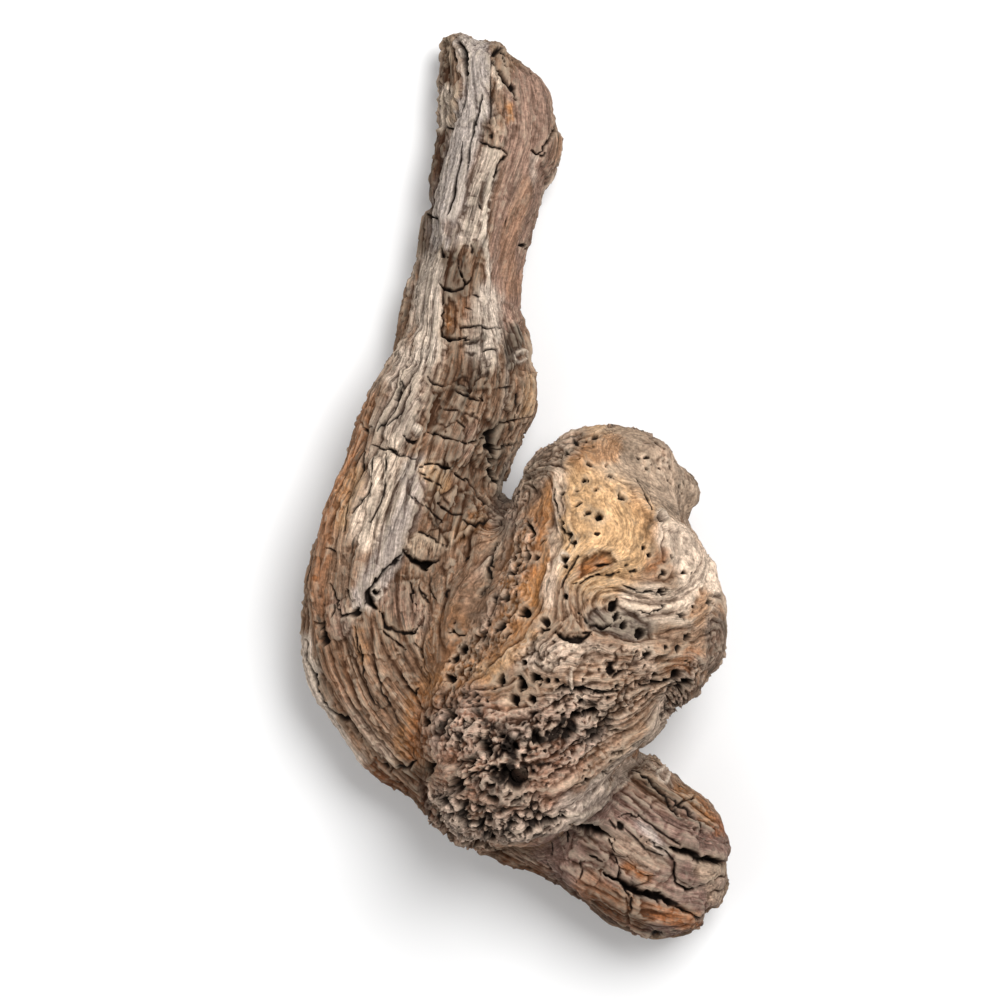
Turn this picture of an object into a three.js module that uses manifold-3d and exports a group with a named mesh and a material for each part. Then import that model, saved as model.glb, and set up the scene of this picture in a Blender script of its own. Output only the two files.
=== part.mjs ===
// A piece of driftwood lying on its side: a bent limb whose long arm sweeps into a short thick foot,
// with a worm-eaten burl grown out of the inside of the bend and a smaller knob behind the burl.
// It grew as one piece, so it is one solid. Millimetres, +Z up, resting on z = 0, arm towards +Y.
import * as THREE from "three";
import { mergeVertices } from "three/addons/utils/BufferGeometryUtils.js";
import Module from "manifold-3d";

// Driving dimensions
const ARM_WIDTH = 46; // across the arm near its tip
const BEND_WIDTH = 69; // across the limb where it turns
const FOOT_WIDTH = 64; // across the foot
const BURL_CENTRE = new THREE.Vector3(22, -60, 60);
const BURL_BLEND = 5; // how softly the burl's lumps and roots run into each other
const TIP_SLANT = 0.56; // how far the broken tip falls back across its width
const FOOT_SLANT = 0.1; // how far the foot's outer side runs past its inner side
const SPLIT_DEPTH = 7;
const WORMHOLE_DEPTH = 6;
const WORMHOLE_TAPER = 0.5; // how much narrower a wormhole gets on its way in, as a share of its radius
const FLAT_SPOT_DEPTH = 1.2; // worn off the three low points that the wood rests on

// Mesh fineness
const LIMB_SIDES = 36;
const LIMB_RINGS = 84;
const BURL_SIDES = 42;
const BURL_RINGS = 30;
const KNOB_SIDES = 16;
const KNOB_RINGS = 10;

// The limb's sections from the arm's tip to the end of the foot: the middle of each one, its width as a
// share of the nearest driving width, and its height. The tip, the bend and the foot's end sit lowest.
const LIMB = [
  { at: [-8, 177, 19], width: 0.88 * ARM_WIDTH, height: 28 },
  { at: [-8, 163, 20], width: 0.93 * ARM_WIDTH, height: 37 },
  { at: [-6, 144, 20], width: 1.06 * ARM_WIDTH, height: 41 },
  { at: [-11, 129, 22], width: ARM_WIDTH, height: 39 },
  { at: [-15, 113, 24], width: 0.92 * ARM_WIDTH, height: 36 },
  { at: [-19, 95, 26], width: 0.9 * ARM_WIDTH, height: 35 },
  { at: [-23, 79, 28], width: 0.93 * ARM_WIDTH, height: 36 },
  { at: [-22, 62, 29], width: 1.04 * ARM_WIDTH, height: 39 },
  { at: [-24, 47, 30], width: 0.85 * BEND_WIDTH, height: 43 },
  { at: [-28, 32, 31], width: 0.97 * BEND_WIDTH, height: 48 },
  { at: [-37, 15, 32], width: 0.92 * BEND_WIDTH, height: 51 },
  { at: [-45, -3, 32], width: 0.89 * BEND_WIDTH, height: 54 },
  { at: [-49, -23, 32], width: 0.93 * BEND_WIDTH, height: 57 },
  { at: [-52, -43, 31], width: 0.97 * BEND_WIDTH, height: 60 },
  { at: [-49, -61, 30], width: BEND_WIDTH, height: 61 },
  { at: [-40, -78, 30], width: 0.97 * BEND_WIDTH, height: 58 },
  { at: [-25, -95, 31], width: 0.93 * BEND_WIDTH, height: 56 },
  { at: [4, -115, 31], width: FOOT_WIDTH, height: 54 },
  { at: [32, -133, 29], width: FOOT_WIDTH, height: 53 },
  { at: [58, -149, 27], width: FOOT_WIDTH, height: 53 },
  { at: [85, -156, 26], width: 0.8 * FOOT_WIDTH, height: 43 },
];
const CAP_SHARE = 0.024; // how much of the limb's length each rounded end takes
const SLANT_SHARE = 0.14; // how much of it each slanted end takes

// Grain ridges that run along the limb with a slow twist: how many go round it, how much they twist
// over its length, how high they stand, and where they start.
const GRAIN_RIDGES = [
  { count: 3, twist: 1.1, height: 0.9, start: 1.3 },
  { count: 5, twist: 1.6, height: 1.1, start: 0.4 },
  { count: 8, twist: -1.4, height: 1.1, start: 2.2 },
  { count: 12, twist: 1.9, height: 0.9, start: 4.1 },
];

// Raised strips of harder wood on the limb. Angles are in degrees round the section: 0 on the outside of
// the bend, 90 on top, 180 on the inside. Places along the limb run from 0 at the tip to 1 at the foot.
const STRIPS = [
  { from: 0.0, to: 0.38, angle: 66, spread: 24, height: 2.8 }, // bleached ridge along the arm
  { from: 0.38, to: 0.66, angle: 52, spread: 27, height: 3.6 }, // ribs on the outside of the arm
  { from: 0.36, to: 0.6, angle: 130, spread: 30, height: 2.8 }, // cracked tongue beside the ribs
  { from: 0.66, to: 0.86, angle: 8, spread: 16, height: 2.0 }, // worn rim round the bend
  { from: 0.87, to: 1.0, angle: 142, spread: 20, height: 2.6 }, // strands along the foot
  { from: 0.87, to: 1.0, angle: 98, spread: 16, height: 1.8 },
  { from: 0.87, to: 1.0, angle: 52, spread: 20, height: 2.6 },
];
const STRIP_FADE = 0.03; // length over which a strip rises, as a share of the limb
const STRIP_CREST = 0.55; // a strip is at full height out to this share of its spread
const STRIP_SKIRT = 1.15; // and has died away at this one

// Drying splits along the grain: where they lie on the limb, their length and their width.
const SPLITS = [
  { along: 0.045, angle: 50, length: 24, width: 4.0 },
  { along: 0.3, angle: 82, length: 24, width: 4.2 },
  { along: 0.6, angle: 74, length: 30, width: 3.6 },
  { along: 0.74, angle: 22, length: 44, width: 3.0 },
  { along: 0.9, angle: 118, length: 24, width: 3.4 },
  { along: 0.93, angle: 76, length: 34, width: 3.6 },
  { along: 0.985, angle: 122, length: 20, width: 4.0 },
  { along: 0.985, angle: 30, length: 20, width: 3.6 },
  { along: 0.45, angle: 262, length: 46, width: 3.4 },
  { along: 0.83, angle: 300, length: 40, width: 3.4 },
];

// The lumps that the burl is grown from, as ellipsoids with blended joins, and the roots that it sinks
// into the limb.
const BURL_LUMPS = [
  { at: [23, -66, 59], radii: [45, 45, 45] }, // core
  { at: [30, -27, 57], radii: [38, 41, 43] }, // crown
  { at: [50, -52, 54], radii: [31, 37, 38] }, // shoulder
  { at: [-1, -103, 61], radii: [35, 38, 40] }, // worm-eaten face
  { at: [24, 2, 54], radii: [18, 23, 31] }, // rim beside the arm
  { at: [-24, -60, 38], radii: [33, 46, 29] }, // root in the bend
  { at: [7, -112, 32], radii: [42, 29, 26] }, // root in the foot
  { at: [-25, -20, 35], radii: [22, 32, 24] }, // root in the arm
];
const KNOB_LUMPS = [
  { at: [45, 2, 46], radii: [21, 23, 24] },
  { at: [65, -3, 45], radii: [8, 9, 11] },
];
const LUMP_RELIEF = { height: 1.3, wavelength: 27 };
const KNOB_RELIEF_SHARE = 0.6; // the knob is smoother than the burl

// Wormholes bored down into the burl: where each one opens, seen from above, and its radius.
const WORMHOLES = [
  [30, -12, 1.6],
  [55, -12, 1.7],
  [17, -27, 1.4],
  [0, -25, 1.9],
  [4, -27, 1.4],
  [37, -45, 1.5],
  [41, -53, 1.7],
  [49, -57, 1.9],
  [48, -65, 1.5],
  [1, -48, 1.9],
  [-6, -74, 1.9],
  [1, -76, 1.9],
  [7, -74, 1.7],
  [0, -81, 1.5],
  [-23, -63, 1.7],
  [65, -57, 1.4],
  [36, -71, 1.4],
  [55, -40, 1.4],
  [-27, -87, 1.9],
  [-14, -100, 1.7],
  [1, -111, 2.8],
  [-21, -115, 2.3],
  [40, -77, 1.7],
];

const wasm = await Module();
wasm.setup();
const UP = new THREE.Vector3(0, 0, 1);
const DEGREE = Math.PI / 180;

// A closed geometry as a solid that can be joined and cut
function solidOf(geometry) {
  const bare = geometry.clone();
  bare.deleteAttribute("normal");
  bare.deleteAttribute("uv");
  const merged = mergeVertices(bare, 1e-4);
  const mesh = new wasm.Mesh({
    numProp: 3,
    vertProperties: new Float32Array(merged.attributes.position.array),
    triVerts: new Uint32Array(merged.index.array),
  });
  mesh.merge();
  return new wasm.Manifold(mesh);
}

function geometryOf(solid) {
  const { numVert, numProp, vertProperties, triVerts } = solid.getMesh();
  const positions = new Float32Array(numVert * 3);
  for (let i = 0; i < numVert; i++) {
    const start = i * numProp;
    positions.set(vertProperties.subarray(start, start + 3), i * 3);
  }
  const geometry = new THREE.BufferGeometry();
  geometry.setAttribute("position", new THREE.BufferAttribute(positions, 3));
  geometry.setIndex(new THREE.BufferAttribute(new Uint32Array(triVerts), 1));
  geometry.computeVertexNormals();
  return geometry;
}

// A ball whose points are moved by place(u, v), with u once round and v from pole to pole
function deformedBall(sides, rings, place) {
  const geometry = new THREE.SphereGeometry(1, sides, rings);
  const { position, uv } = geometry.attributes;
  for (let i = 0; i < position.count; i++) {
    const v = 1 - uv.getY(i);
    const atPole = v < 1e-6 || v > 1 - 1e-6;
    const u = atPole ? 0 : uv.getX(i) % 1;
    const { x, y, z } = place(u, v);
    position.setXYZ(i, x, y, z);
  }
  return geometry;
}

// The limb

const spine = new THREE.CatmullRomCurve3(LIMB.map((section) => new THREE.Vector3(...section.at)));

// A section's width or height at t, smoothed between the listed sections
function sectionSize(name, t) {
  const place = t * (LIMB.length - 1);
  const i = Math.min(Math.floor(place), LIMB.length - 2);
  const blend = THREE.MathUtils.smoothstep(place - i, 0, 1);
  return THREE.MathUtils.lerp(LIMB[i][name], LIMB[i + 1][name], blend);
}

function roundedEnd(t) {
  const fromEnd = Math.min(t, 1 - t) / CAP_SHARE;
  return fromEnd >= 1 ? 1 : Math.sqrt(1 - (1 - fromEnd) ** 2);
}

function limbRelief(t, angle) {
  let height = 0;
  for (const ridge of GRAIN_RIDGES) {
    height += ridge.height * Math.sin(ridge.count * angle + ridge.twist * 2 * Math.PI * t + ridge.start);
  }
  for (const strip of STRIPS) {
    const rise = THREE.MathUtils.smoothstep(t, strip.from - STRIP_FADE, strip.from + STRIP_FADE);
    const fall = 1 - THREE.MathUtils.smoothstep(t, strip.to - STRIP_FADE, strip.to + STRIP_FADE);
    const away = Math.abs(angle / DEGREE - strip.angle) / strip.spread;
    height += strip.height * rise * fall * (1 - THREE.MathUtils.smoothstep(away, STRIP_CREST, STRIP_SKIRT));
  }
  return height;
}

// The point on the limb's skin at t along it and angle round it, with the section's own directions
function limbPoint(t, angle) {
  const middle = spine.getPoint(t);
  const along = spine.getTangent(t);
  const outward = new THREE.Vector3().crossVectors(along, UP).normalize();
  const upward = new THREE.Vector3().crossVectors(outward, along).normalize();
  const end = roundedEnd(t);
  const relief = limbRelief(t, angle);
  const across = (sectionSize("width", t) / 2 + relief) * end * Math.cos(angle);
  const above = (sectionSize("height", t) / 2 + relief) * end * Math.sin(angle);
  const tipward = 1 - THREE.MathUtils.smoothstep(t, 0, SLANT_SHARE);
  const footward = THREE.MathUtils.smoothstep(t, 1 - SLANT_SHARE, 1);
  const point = middle
    .addScaledVector(outward, across)
    .addScaledVector(upward, above)
    .addScaledVector(along, (FOOT_SLANT * footward - TIP_SLANT * tipward) * across);
  const normal = outward.clone().multiplyScalar(Math.cos(angle)).addScaledVector(upward, Math.sin(angle));
  return { point, along, normal };
}

function limb() {
  const endCrowding = 0.45; // rings stand closer together towards the rounded ends
  const geometry = deformedBall(LIMB_SIDES, LIMB_RINGS, (u, v) => {
    const t = v - (endCrowding * Math.sin(2 * Math.PI * v)) / (2 * Math.PI);
    return limbPoint(t, 2 * Math.PI * u).point;
  });
  return solidOf(geometry);
}

// A split is a long thin lens sunk into the skin along the grain
function split({ along, angle, length, width }) {
  const skin = limbPoint(along, angle * DEGREE);
  const across = new THREE.Vector3().crossVectors(skin.normal, skin.along).normalize();
  const lens = new THREE.SphereGeometry(1, 10, 5);
  lens.scale(length / 2, width / 2, SPLIT_DEPTH);
  const turn = new THREE.Matrix4().makeBasis(skin.along, across, skin.normal);
  lens.applyMatrix4(turn.setPosition(skin.point));
  return solidOf(lens);
}

// The burl and its knob

function lumpRelief(point) {
  const k = (2 * Math.PI) / LUMP_RELIEF.wavelength;
  const { x, y, z } = point;
  const across = Math.sin(k * x) * Math.cos(k * y);
  const down = Math.sin(k * y) * Math.cos(k * z);
  const round = Math.sin(k * z) * Math.cos(k * x);
  return LUMP_RELIEF.height * (across + down + round);
}

// How far a ray from the burl's centre goes before it leaves an ellipsoid, or 0 where it misses
function exitDistance(direction, { at, radii }) {
  const scale = new THREE.Vector3(...radii);
  const from = BURL_CENTRE.clone().sub(new THREE.Vector3(...at)).divide(scale);
  const ray = direction.clone().divide(scale);
  const a = ray.lengthSq();
  const b = from.dot(ray);
  const c = from.lengthSq() - 1;
  const root = b * b - a * c;
  return root < 0 ? 0 : Math.max(0, (-b + Math.sqrt(root)) / a);
}

function burlPoint(direction) {
  let total = 0;
  for (const lump of BURL_LUMPS) total += Math.exp(exitDistance(direction, lump) / BURL_BLEND);
  const reach = BURL_BLEND * Math.log(total);
  const smooth = BURL_CENTRE.clone().addScaledVector(direction, reach);
  return smooth.addScaledVector(direction, lumpRelief(smooth));
}

function directionAt(u, v) {
  return new THREE.Vector3().setFromSphericalCoords(1, Math.PI * v, 2 * Math.PI * u);
}

function burl() {
  return solidOf(deformedBall(BURL_SIDES, BURL_RINGS, (u, v) => burlPoint(directionAt(u, v))));
}

function knobLump({ at, radii: size }) {
  const middle = new THREE.Vector3(...at);
  const radii = new THREE.Vector3(...size);
  const geometry = deformedBall(KNOB_SIDES, KNOB_RINGS, (u, v) => {
    const direction = directionAt(u, v);
    const skin = direction.clone().multiply(radii).add(middle);
    return skin.addScaledVector(direction, KNOB_RELIEF_SHARE * lumpRelief(skin));
  });
  return solidOf(geometry);
}

// The point of the burl's skin that lies under a place seen from above
function burlPointUnder(x, y) {
  const searches = 12;
  const point = new THREE.Vector3(x, y, BURL_CENTRE.z + BURL_LUMPS[0].radii[2]);
  for (let i = 0; i < searches; i++) {
    point.z = burlPoint(point.clone().sub(BURL_CENTRE).normalize()).z;
  }
  return point;
}

// A wormhole is a tapered bore that runs straight in from the skin
function wormhole([x, y, radius]) {
  const mouth = burlPointUnder(x, y);
  const outward = mouth.clone().sub(BURL_CENTRE).normalize();
  const narrowing = (radius * WORMHOLE_TAPER) / 2;
  const hole = new THREE.CylinderGeometry(radius + narrowing, radius - narrowing, 2 * WORMHOLE_DEPTH, 6);
  hole.applyQuaternion(new THREE.Quaternion().setFromUnitVectors(new THREE.Vector3(0, 1, 0), outward));
  hole.translate(mouth.x, mouth.y, mouth.z);
  return solidOf(hole);
}

// One piece of wood, worn flat where it rests and centred over its own middle

function driftwood() {
  let cutLimb = limb();
  for (const place of SPLITS) cutLimb = cutLimb.subtract(split(place));
  let boredBurl = burl();
  for (const lump of KNOB_LUMPS) boredBurl = boredBurl.add(knobLump(lump));
  for (const place of WORMHOLES) boredBurl = boredBurl.subtract(wormhole(place));
  const whole = cutLimb.add(boredBurl);

  const reach = 1000;
  const aboveGround = new THREE.BoxGeometry(reach, reach, reach);
  const { min } = whole.boundingBox();
  aboveGround.translate(0, 0, reach / 2 + min[2] + FLAT_SPOT_DEPTH);
  const geometry = geometryOf(whole.intersect(solidOf(aboveGround)));

  geometry.computeBoundingBox();
  const middle = geometry.boundingBox.getCenter(new THREE.Vector3());
  geometry.translate(-middle.x, -middle.y, -geometry.boundingBox.min.z);
  return geometry;
}

const weatheredWood = new THREE.MeshStandardMaterial({ color: 0x9a7d63, roughness: 0.88, metalness: 0 });
const wood = new THREE.Mesh(driftwood(), weatheredWood);
wood.name = "driftwood";

const part = new THREE.Group();
part.add(wood);
export default part;
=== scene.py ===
from itertools import product

import bpy
import numpy as np
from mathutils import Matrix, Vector


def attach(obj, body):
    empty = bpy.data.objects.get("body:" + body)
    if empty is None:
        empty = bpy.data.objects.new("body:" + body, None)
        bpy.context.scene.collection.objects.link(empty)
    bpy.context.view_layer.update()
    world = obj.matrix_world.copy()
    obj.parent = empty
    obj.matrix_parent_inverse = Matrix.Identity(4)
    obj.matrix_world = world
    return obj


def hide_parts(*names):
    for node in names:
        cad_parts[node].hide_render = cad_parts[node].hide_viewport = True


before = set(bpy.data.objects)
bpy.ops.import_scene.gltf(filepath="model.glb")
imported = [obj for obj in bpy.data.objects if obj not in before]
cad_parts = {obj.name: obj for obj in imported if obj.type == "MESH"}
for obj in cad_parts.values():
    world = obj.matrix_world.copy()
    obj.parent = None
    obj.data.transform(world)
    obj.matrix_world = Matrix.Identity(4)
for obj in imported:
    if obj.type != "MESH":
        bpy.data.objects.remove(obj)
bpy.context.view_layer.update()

# The camera
# It looks straight down on the wood as it lies, through a long lens, so that the flanks hardly show.
# Marks on the wood are placed below by picture point, counted right and down from the view's top left.
MM = 0.001
PICTURE = 1000  # picture points across the square view
LENS = 144
SENSOR = 36
CAMERA_PLACE = np.array([-6.8, -5.2, 1645.0])

camera_data = bpy.data.cameras.new("camera")
camera_data.lens = LENS
camera_data.sensor_width = SENSOR
camera = bpy.data.objects.new("camera", camera_data)
camera.location = Vector(CAMERA_PLACE * MM)
bpy.context.scene.collection.objects.link(camera)
bpy.context.scene.camera = camera


def seen_at(places):
    """The picture point at which each place, in millimetres, is seen."""
    scale = PICTURE * LENS / SENSOR / (CAMERA_PLACE[2] - places[:, 2])
    right = PICTURE / 2 + scale * (places[:, 0] - CAMERA_PLACE[0])
    down = PICTURE / 2 - scale * (places[:, 1] - CAMERA_PLACE[1])
    return np.stack([right, down], axis=1)


# The wood's skin
# One piece of old wood, grown as a bent limb with a burl in the bend, then rolled and worn in the sea.
# The solid's flat facets are rounded away and its creases filled, as wear does, before the marks are cut.
REMESH_SIZE = 2.0
SUBDIVISIONS = 2
CREASE_PASSES = 26
ROUNDING_PASSES = 14
DRAW_IN = 0.5  # each rounding pass draws the skin in by this share of its unevenness
LET_OUT = 0.52  # and then lets it out again by this share

wood = bpy.data.objects.new("weathered_driftwood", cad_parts["driftwood"].data.copy())
bpy.context.scene.collection.objects.link(wood)


def reshape(kind, **settings):
    """Runs one modifier on the wood and keeps what it makes."""
    modifier = wood.modifiers.new(kind, kind)
    for name, value in settings.items():
        setattr(modifier, name, value)
    seen = wood.evaluated_get(bpy.context.evaluated_depsgraph_get())
    made = bpy.data.meshes.new_from_object(seen)
    wood.modifiers.clear()
    wood.data = made


def read_places():
    """The wood's points, in millimetres."""
    flat = np.empty(3 * len(wood.data.vertices), np.float32)
    wood.data.vertices.foreach_get("co", flat)
    return flat.reshape(-1, 3).astype(float) / MM


def write_places(places):
    """Moves the wood's points to these places, in millimetres."""
    wood.data.vertices.foreach_set("co", (places * MM).astype(np.float32).ravel())
    wood.data.update()


def read_outward():
    """The direction straight out of the skin at each point."""
    flat = np.empty(3 * len(wood.data.vertices), np.float32)
    wood.data.vertex_normals.foreach_get("vector", flat)
    return flat.reshape(-1, 3).astype(float)


def neighbour_mean():
    """A function that averages a value over the points next to each point of the mesh."""
    count = len(wood.data.vertices)
    ends = np.empty(2 * len(wood.data.edges), np.int32)
    wood.data.edges.foreach_get("vertices", ends)
    first, second = ends.reshape(-1, 2).T
    neighbours = np.bincount(first, minlength=count) + np.bincount(second, minlength=count)

    def mean(values):
        if values.ndim == 2:
            return np.stack([mean(column) for column in values.T], axis=1)
        total = np.bincount(first, values[second], count) + np.bincount(second, values[first], count)
        return total / neighbours

    return mean


reshape("REMESH", mode="VOXEL", voxel_size=REMESH_SIZE * MM)
places = read_places()
mean = neighbour_mean()
for _ in range(CREASE_PASSES):
    write_places(places)
    outward = read_outward()
    dip = np.einsum("ij,ij->i", mean(places) - places, outward)
    places += outward * np.maximum(dip, 0)[:, None]
for _ in range(ROUNDING_PASSES):
    places += DRAW_IN * (mean(places) - places)
    places -= LET_OUT * (mean(places) - places)
write_places(places)
outward = read_outward()

# What the camera sees of the skin, and lines drawn on it by picture point
PATCH = 4  # picture points across the patches in which the highest point is sought
SEEN_DEPTH = 9.0  # points within so many millimetres below the highest count as seen
LEAST_UPWARD = -0.1  # skin that faces further down than this is hidden


def look_down():
    """Where in the picture each point is, and whether it lies on top there."""
    picture = seen_at(places)
    column, row = np.clip(picture // PATCH, 0, PICTURE // PATCH - 1).astype(int).T
    highest = np.full((PICTURE // PATCH, PICTURE // PATCH), -np.inf)
    np.maximum.at(highest, (row, column), places[:, 2])
    near_top = places[:, 2] > highest[row, column] - SEEN_DEPTH
    return picture, near_top & (outward[:, 2] > LEAST_UPWARD)


def near(points, margin, where):
    """The numbers of the seen points within a margin of a line's box in the picture."""
    low = np.min(points, axis=0) - margin
    high = np.max(points, axis=0) + margin
    return np.flatnonzero(np.all((where > low) & (where < high), axis=1) & on_top)


def line_gap(points, where):
    """The distance in picture points to a drawn line, the share of its length there, and the side."""
    best = np.full(len(where), np.inf)
    share = np.zeros(len(where))
    side = np.zeros(len(where))
    spans = list(zip(points[:-1], points[1:]))
    for i, (start, end) in enumerate(spans):
        run = np.subtract(end, start)
        away = where - start
        t = np.clip(away @ run / (run @ run), 0, 1)
        apart = np.linalg.norm(away - t[:, None] * run, axis=1)
        closer = apart < best
        best[closer] = apart[closer]
        share[closer] = (i + t[closer]) / len(spans)
        side[closer] = np.sign(run[0] * away[closer, 1] - run[1] * away[closer, 0])
    return best, share, side


def outline_gap(points, where):
    """The distance in picture points to a drawn outline, positive inside it."""
    closed = list(points) + [points[0]]
    gap = line_gap(closed, where)[0]
    inside = np.zeros(len(where), bool)
    for (x0, y0), (x1, y1) in zip(closed[:-1], closed[1:]):
        if y0 == y1:
            continue
        spans = (y0 > where[:, 1]) != (y1 > where[:, 1])
        crossing = x0 + (where[:, 1] - y0) * (x1 - x0) / (y1 - y0)
        inside ^= spans & (where[:, 0] < crossing)
    return np.where(inside, gap, -gap)


def smooth_step(value, low, high):
    """Goes smoothly from 0 to 1 as a value goes from low to high."""
    share = np.clip((value - low) / (high - low), 0, 1)
    return share * share * (3 - 2 * share)


picture, on_top = look_down()

# The wood's outline
# Its worn and broken edge as the camera sees it. The skin's own edge is drawn out or in to this line.
OUTLINE = [
    (446, 35), (459, 33), (467, 33), (474, 42), (491, 41), (504, 45), (508, 52), (522, 61),
    (540, 75), (551, 95), (557, 126), (563, 138), (560, 157), (547, 185), (538, 215), (530, 250),
    (520, 310), (523, 330), (530, 366), (538, 376), (537, 412), (520, 450), (504, 490), (496, 511),
    (499, 516), (516, 490), (524, 470), (536, 450), (552, 445), (562, 435), (584, 426), (602, 419),
    (614, 424), (634, 424), (647, 430), (664, 438), (674, 448), (675, 461), (686, 468), (697, 478),
    (699, 491), (689, 506), (686, 519), (702, 540), (716, 566), (721, 604), (727, 640), (725, 658),
    (709, 678), (702, 692), (672, 710), (667, 726), (644, 750), (680, 777), (712, 800), (722, 817),
    (725, 834), (733, 850), (726, 863), (730, 877), (722, 906), (704, 914), (703, 926), (684, 933),
    (656, 942), (619, 933), (593, 912), (582, 901), (554, 880), (505, 863), (480, 845), (452, 838),
    (436, 818), (393, 790), (369, 770), (350, 750), (329, 716), (308, 670), (300, 640), (303, 590),
    (312, 554), (332, 490), (354, 430), (370, 390), (394, 350), (406, 310), (421, 250), (430, 204),
    (434, 159), (440, 140), (440, 56),
]
EDGE_CELL = 2  # picture points across the cells in which the skin's own edge is found
EDGE_OUTSIDE = 0.75 * EDGE_CELL  # how far outside the edge the middles of the empty cells lie
EDGE_FULL = 2  # picture points in from the edge that follow it all the way
EDGE_DEPTH = 26  # picture points in from the edge at which none follow it
EDGE_MOST = 12  # picture points that the edge moves at most
EDGE_SOFTENING = 2
EDGE_BATCH = 4000  # points set against the edge at a time


def beside(cells):
    """The marked cells and those next to them."""
    beside_rows = np.roll(cells, 1, 0) | np.roll(cells, -1, 0)
    beside_columns = np.roll(cells, 1, 1) | np.roll(cells, -1, 1)
    return cells | beside_rows | beside_columns


def skin_edge():
    """The empty cells along the skin's own edge, as picture points."""
    filled = np.zeros((PICTURE // EDGE_CELL, PICTURE // EDGE_CELL), bool)
    column, row = (picture // EDGE_CELL).astype(int).T
    filled[row, column] = True
    filled = ~beside(beside(~beside(beside(filled))))
    row, column = np.nonzero(beside(filled) & ~filled)
    return (np.stack([column, row], axis=1) + 0.5) * EDGE_CELL


edge = skin_edge()
edge_gap = np.empty(len(places))
edge_way = np.empty((len(places), 2))
for start in range(0, len(places), EDGE_BATCH):
    batch = slice(start, start + EDGE_BATCH)
    apart = np.linalg.norm(picture[batch, None] - edge, axis=2)
    edge_gap[batch] = apart.min(1)
    edge_way[batch] = edge[apart.argmin(1)] - picture[batch]
edge_way /= edge_gap[:, None]
pull = np.clip(outline_gap(OUTLINE, picture) - edge_gap + EDGE_OUTSIDE, -EDGE_MOST, EDGE_MOST)
shift = edge_way * (pull * (1 - smooth_step(edge_gap, EDGE_FULL, EDGE_DEPTH)))[:, None]
for _ in range(EDGE_SOFTENING):
    shift = mean(shift)
point_size = (CAMERA_PLACE[2] - places[:, 2]) * SENSOR / LENS / PICTURE
places[:, 0] += shift[:, 0] * point_size
places[:, 1] -= shift[:, 1] * point_size
write_places(places)
outward = read_outward()
picture, on_top = look_down()

# The flow of the burl's fibres
# They come down its crown, turn in a swirl towards the right edge, and run round its lower face.
# Each line follows the fibres and has a number, which differs from the next by their millimetres apart.
BURL_FLOW = [
    (-8, [(525, 485), (510, 530), (493, 571)]),
    (-2, [(545, 480), (532, 540), (520, 590)]),
    (4, [(558, 476), (556, 498), (560, 521), (555, 543), (551, 562), (546, 587), (543, 604)]),
    (8, [(566, 498), (568, 521), (573, 538), (579, 548)]),
    (12, [(580, 460), (599, 504), (617, 536), (604, 545), (581, 556)]),
    (17, [(604, 440), (618, 498), (627, 534), (622, 550), (600, 562), (579, 574)]),
    (23, [(626, 440), (642, 495), (655, 520), (652, 545), (640, 562), (612, 572), (575, 586)]),
    (31, [(660, 505), (679, 527), (697, 545), (700, 564), (686, 580), (662, 590), (639, 590), (616, 584),
          (590, 592)]),
    (39, [(690, 522), (712, 550), (714, 572), (702, 591), (679, 606), (652, 612), (629, 605), (606, 606)]),
    (-4, [(494, 603), (463, 636), (442, 678), (427, 708), (418, 742)]),
    (2, [(528, 615), (494, 649), (452, 680), (431, 704)]),
    (8, [(557, 617), (528, 643), (498, 666), (469, 689)]),
    (22, [(540, 656), (578, 652), (620, 647), (663, 653), (700, 646), (722, 634)]),
    (13, [(545, 674), (600, 674), (642, 670), (673, 664)]),
    (5, [(556, 691), (595, 691), (620, 693), (652, 683), (679, 672)]),
    (-8, [(431, 758), (463, 746), (498, 740), (536, 735), (578, 725), (620, 710), (652, 695), (673, 680)]),
    (-24, [(470, 800), (519, 792), (570, 780), (610, 750), (646, 725), (667, 700)]),
    (-36, [(448, 830), (494, 836), (545, 829), (570, 817), (600, 792), (631, 769), (652, 742), (667, 716)]),
]
FLOW_REACH = 3.5  # picture points from a line within which a point takes its number
FLOW_PASSES = 500
FLOW_SOFTENING = 3
FLOW_UNDER = 38  # the number at which the flow passes over the edge, down to the burl's hidden side
FLOW_TURN = 25  # millimetres to either side of the middle in which the hidden side's numbers turn
BURL_CENTRE = np.array([23, -61, 59])
SEEN_SOFTENING = 3


def keep_values(name, kind, values):
    """Keeps a value for each point of the wood."""
    field = {"FLOAT": "value", "FLOAT_VECTOR": "vector", "FLOAT_COLOR": "color"}[kind]
    attribute = wood.data.attributes.new(name, kind, "POINT")
    attribute.data.foreach_set(field, np.ascontiguousarray(values, np.float32).ravel())


numbers = np.full(len(places), np.nan)
under = ~on_top & (places[:, 2] < BURL_CENTRE[2])
to_side = np.clip((places - BURL_CENTRE)[:, :2].sum(1) / FLOW_TURN, -1, 1)
numbers[under] = (to_side * (FLOW_UNDER + BURL_CENTRE[2] - places[:, 2]))[under]
for number, line in BURL_FLOW:
    some = near(line, FLOW_REACH, picture)
    numbers[some[line_gap(line, picture[some])[0] < FLOW_REACH]] = number
known = ~np.isnan(numbers)
flow = np.where(known, numbers, 0)
for _ in range(FLOW_PASSES):
    flow = np.where(known, numbers, mean(flow))
for _ in range(FLOW_SOFTENING):
    flow = mean(flow)
keep_values("flow", "FLOAT", flow)

reshape("SUBSURF", levels=SUBDIVISIONS)
places = read_places()
outward = read_outward()
mean = neighbour_mean()
picture, on_top = look_down()
seen = on_top.astype(float)
for _ in range(SEEN_SOFTENING):
    seen = mean(seen)
flow = np.empty(len(places), np.float32)
wood.data.attributes["flow"].data.foreach_get("value", flow)
flow = flow.astype(float)

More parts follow.
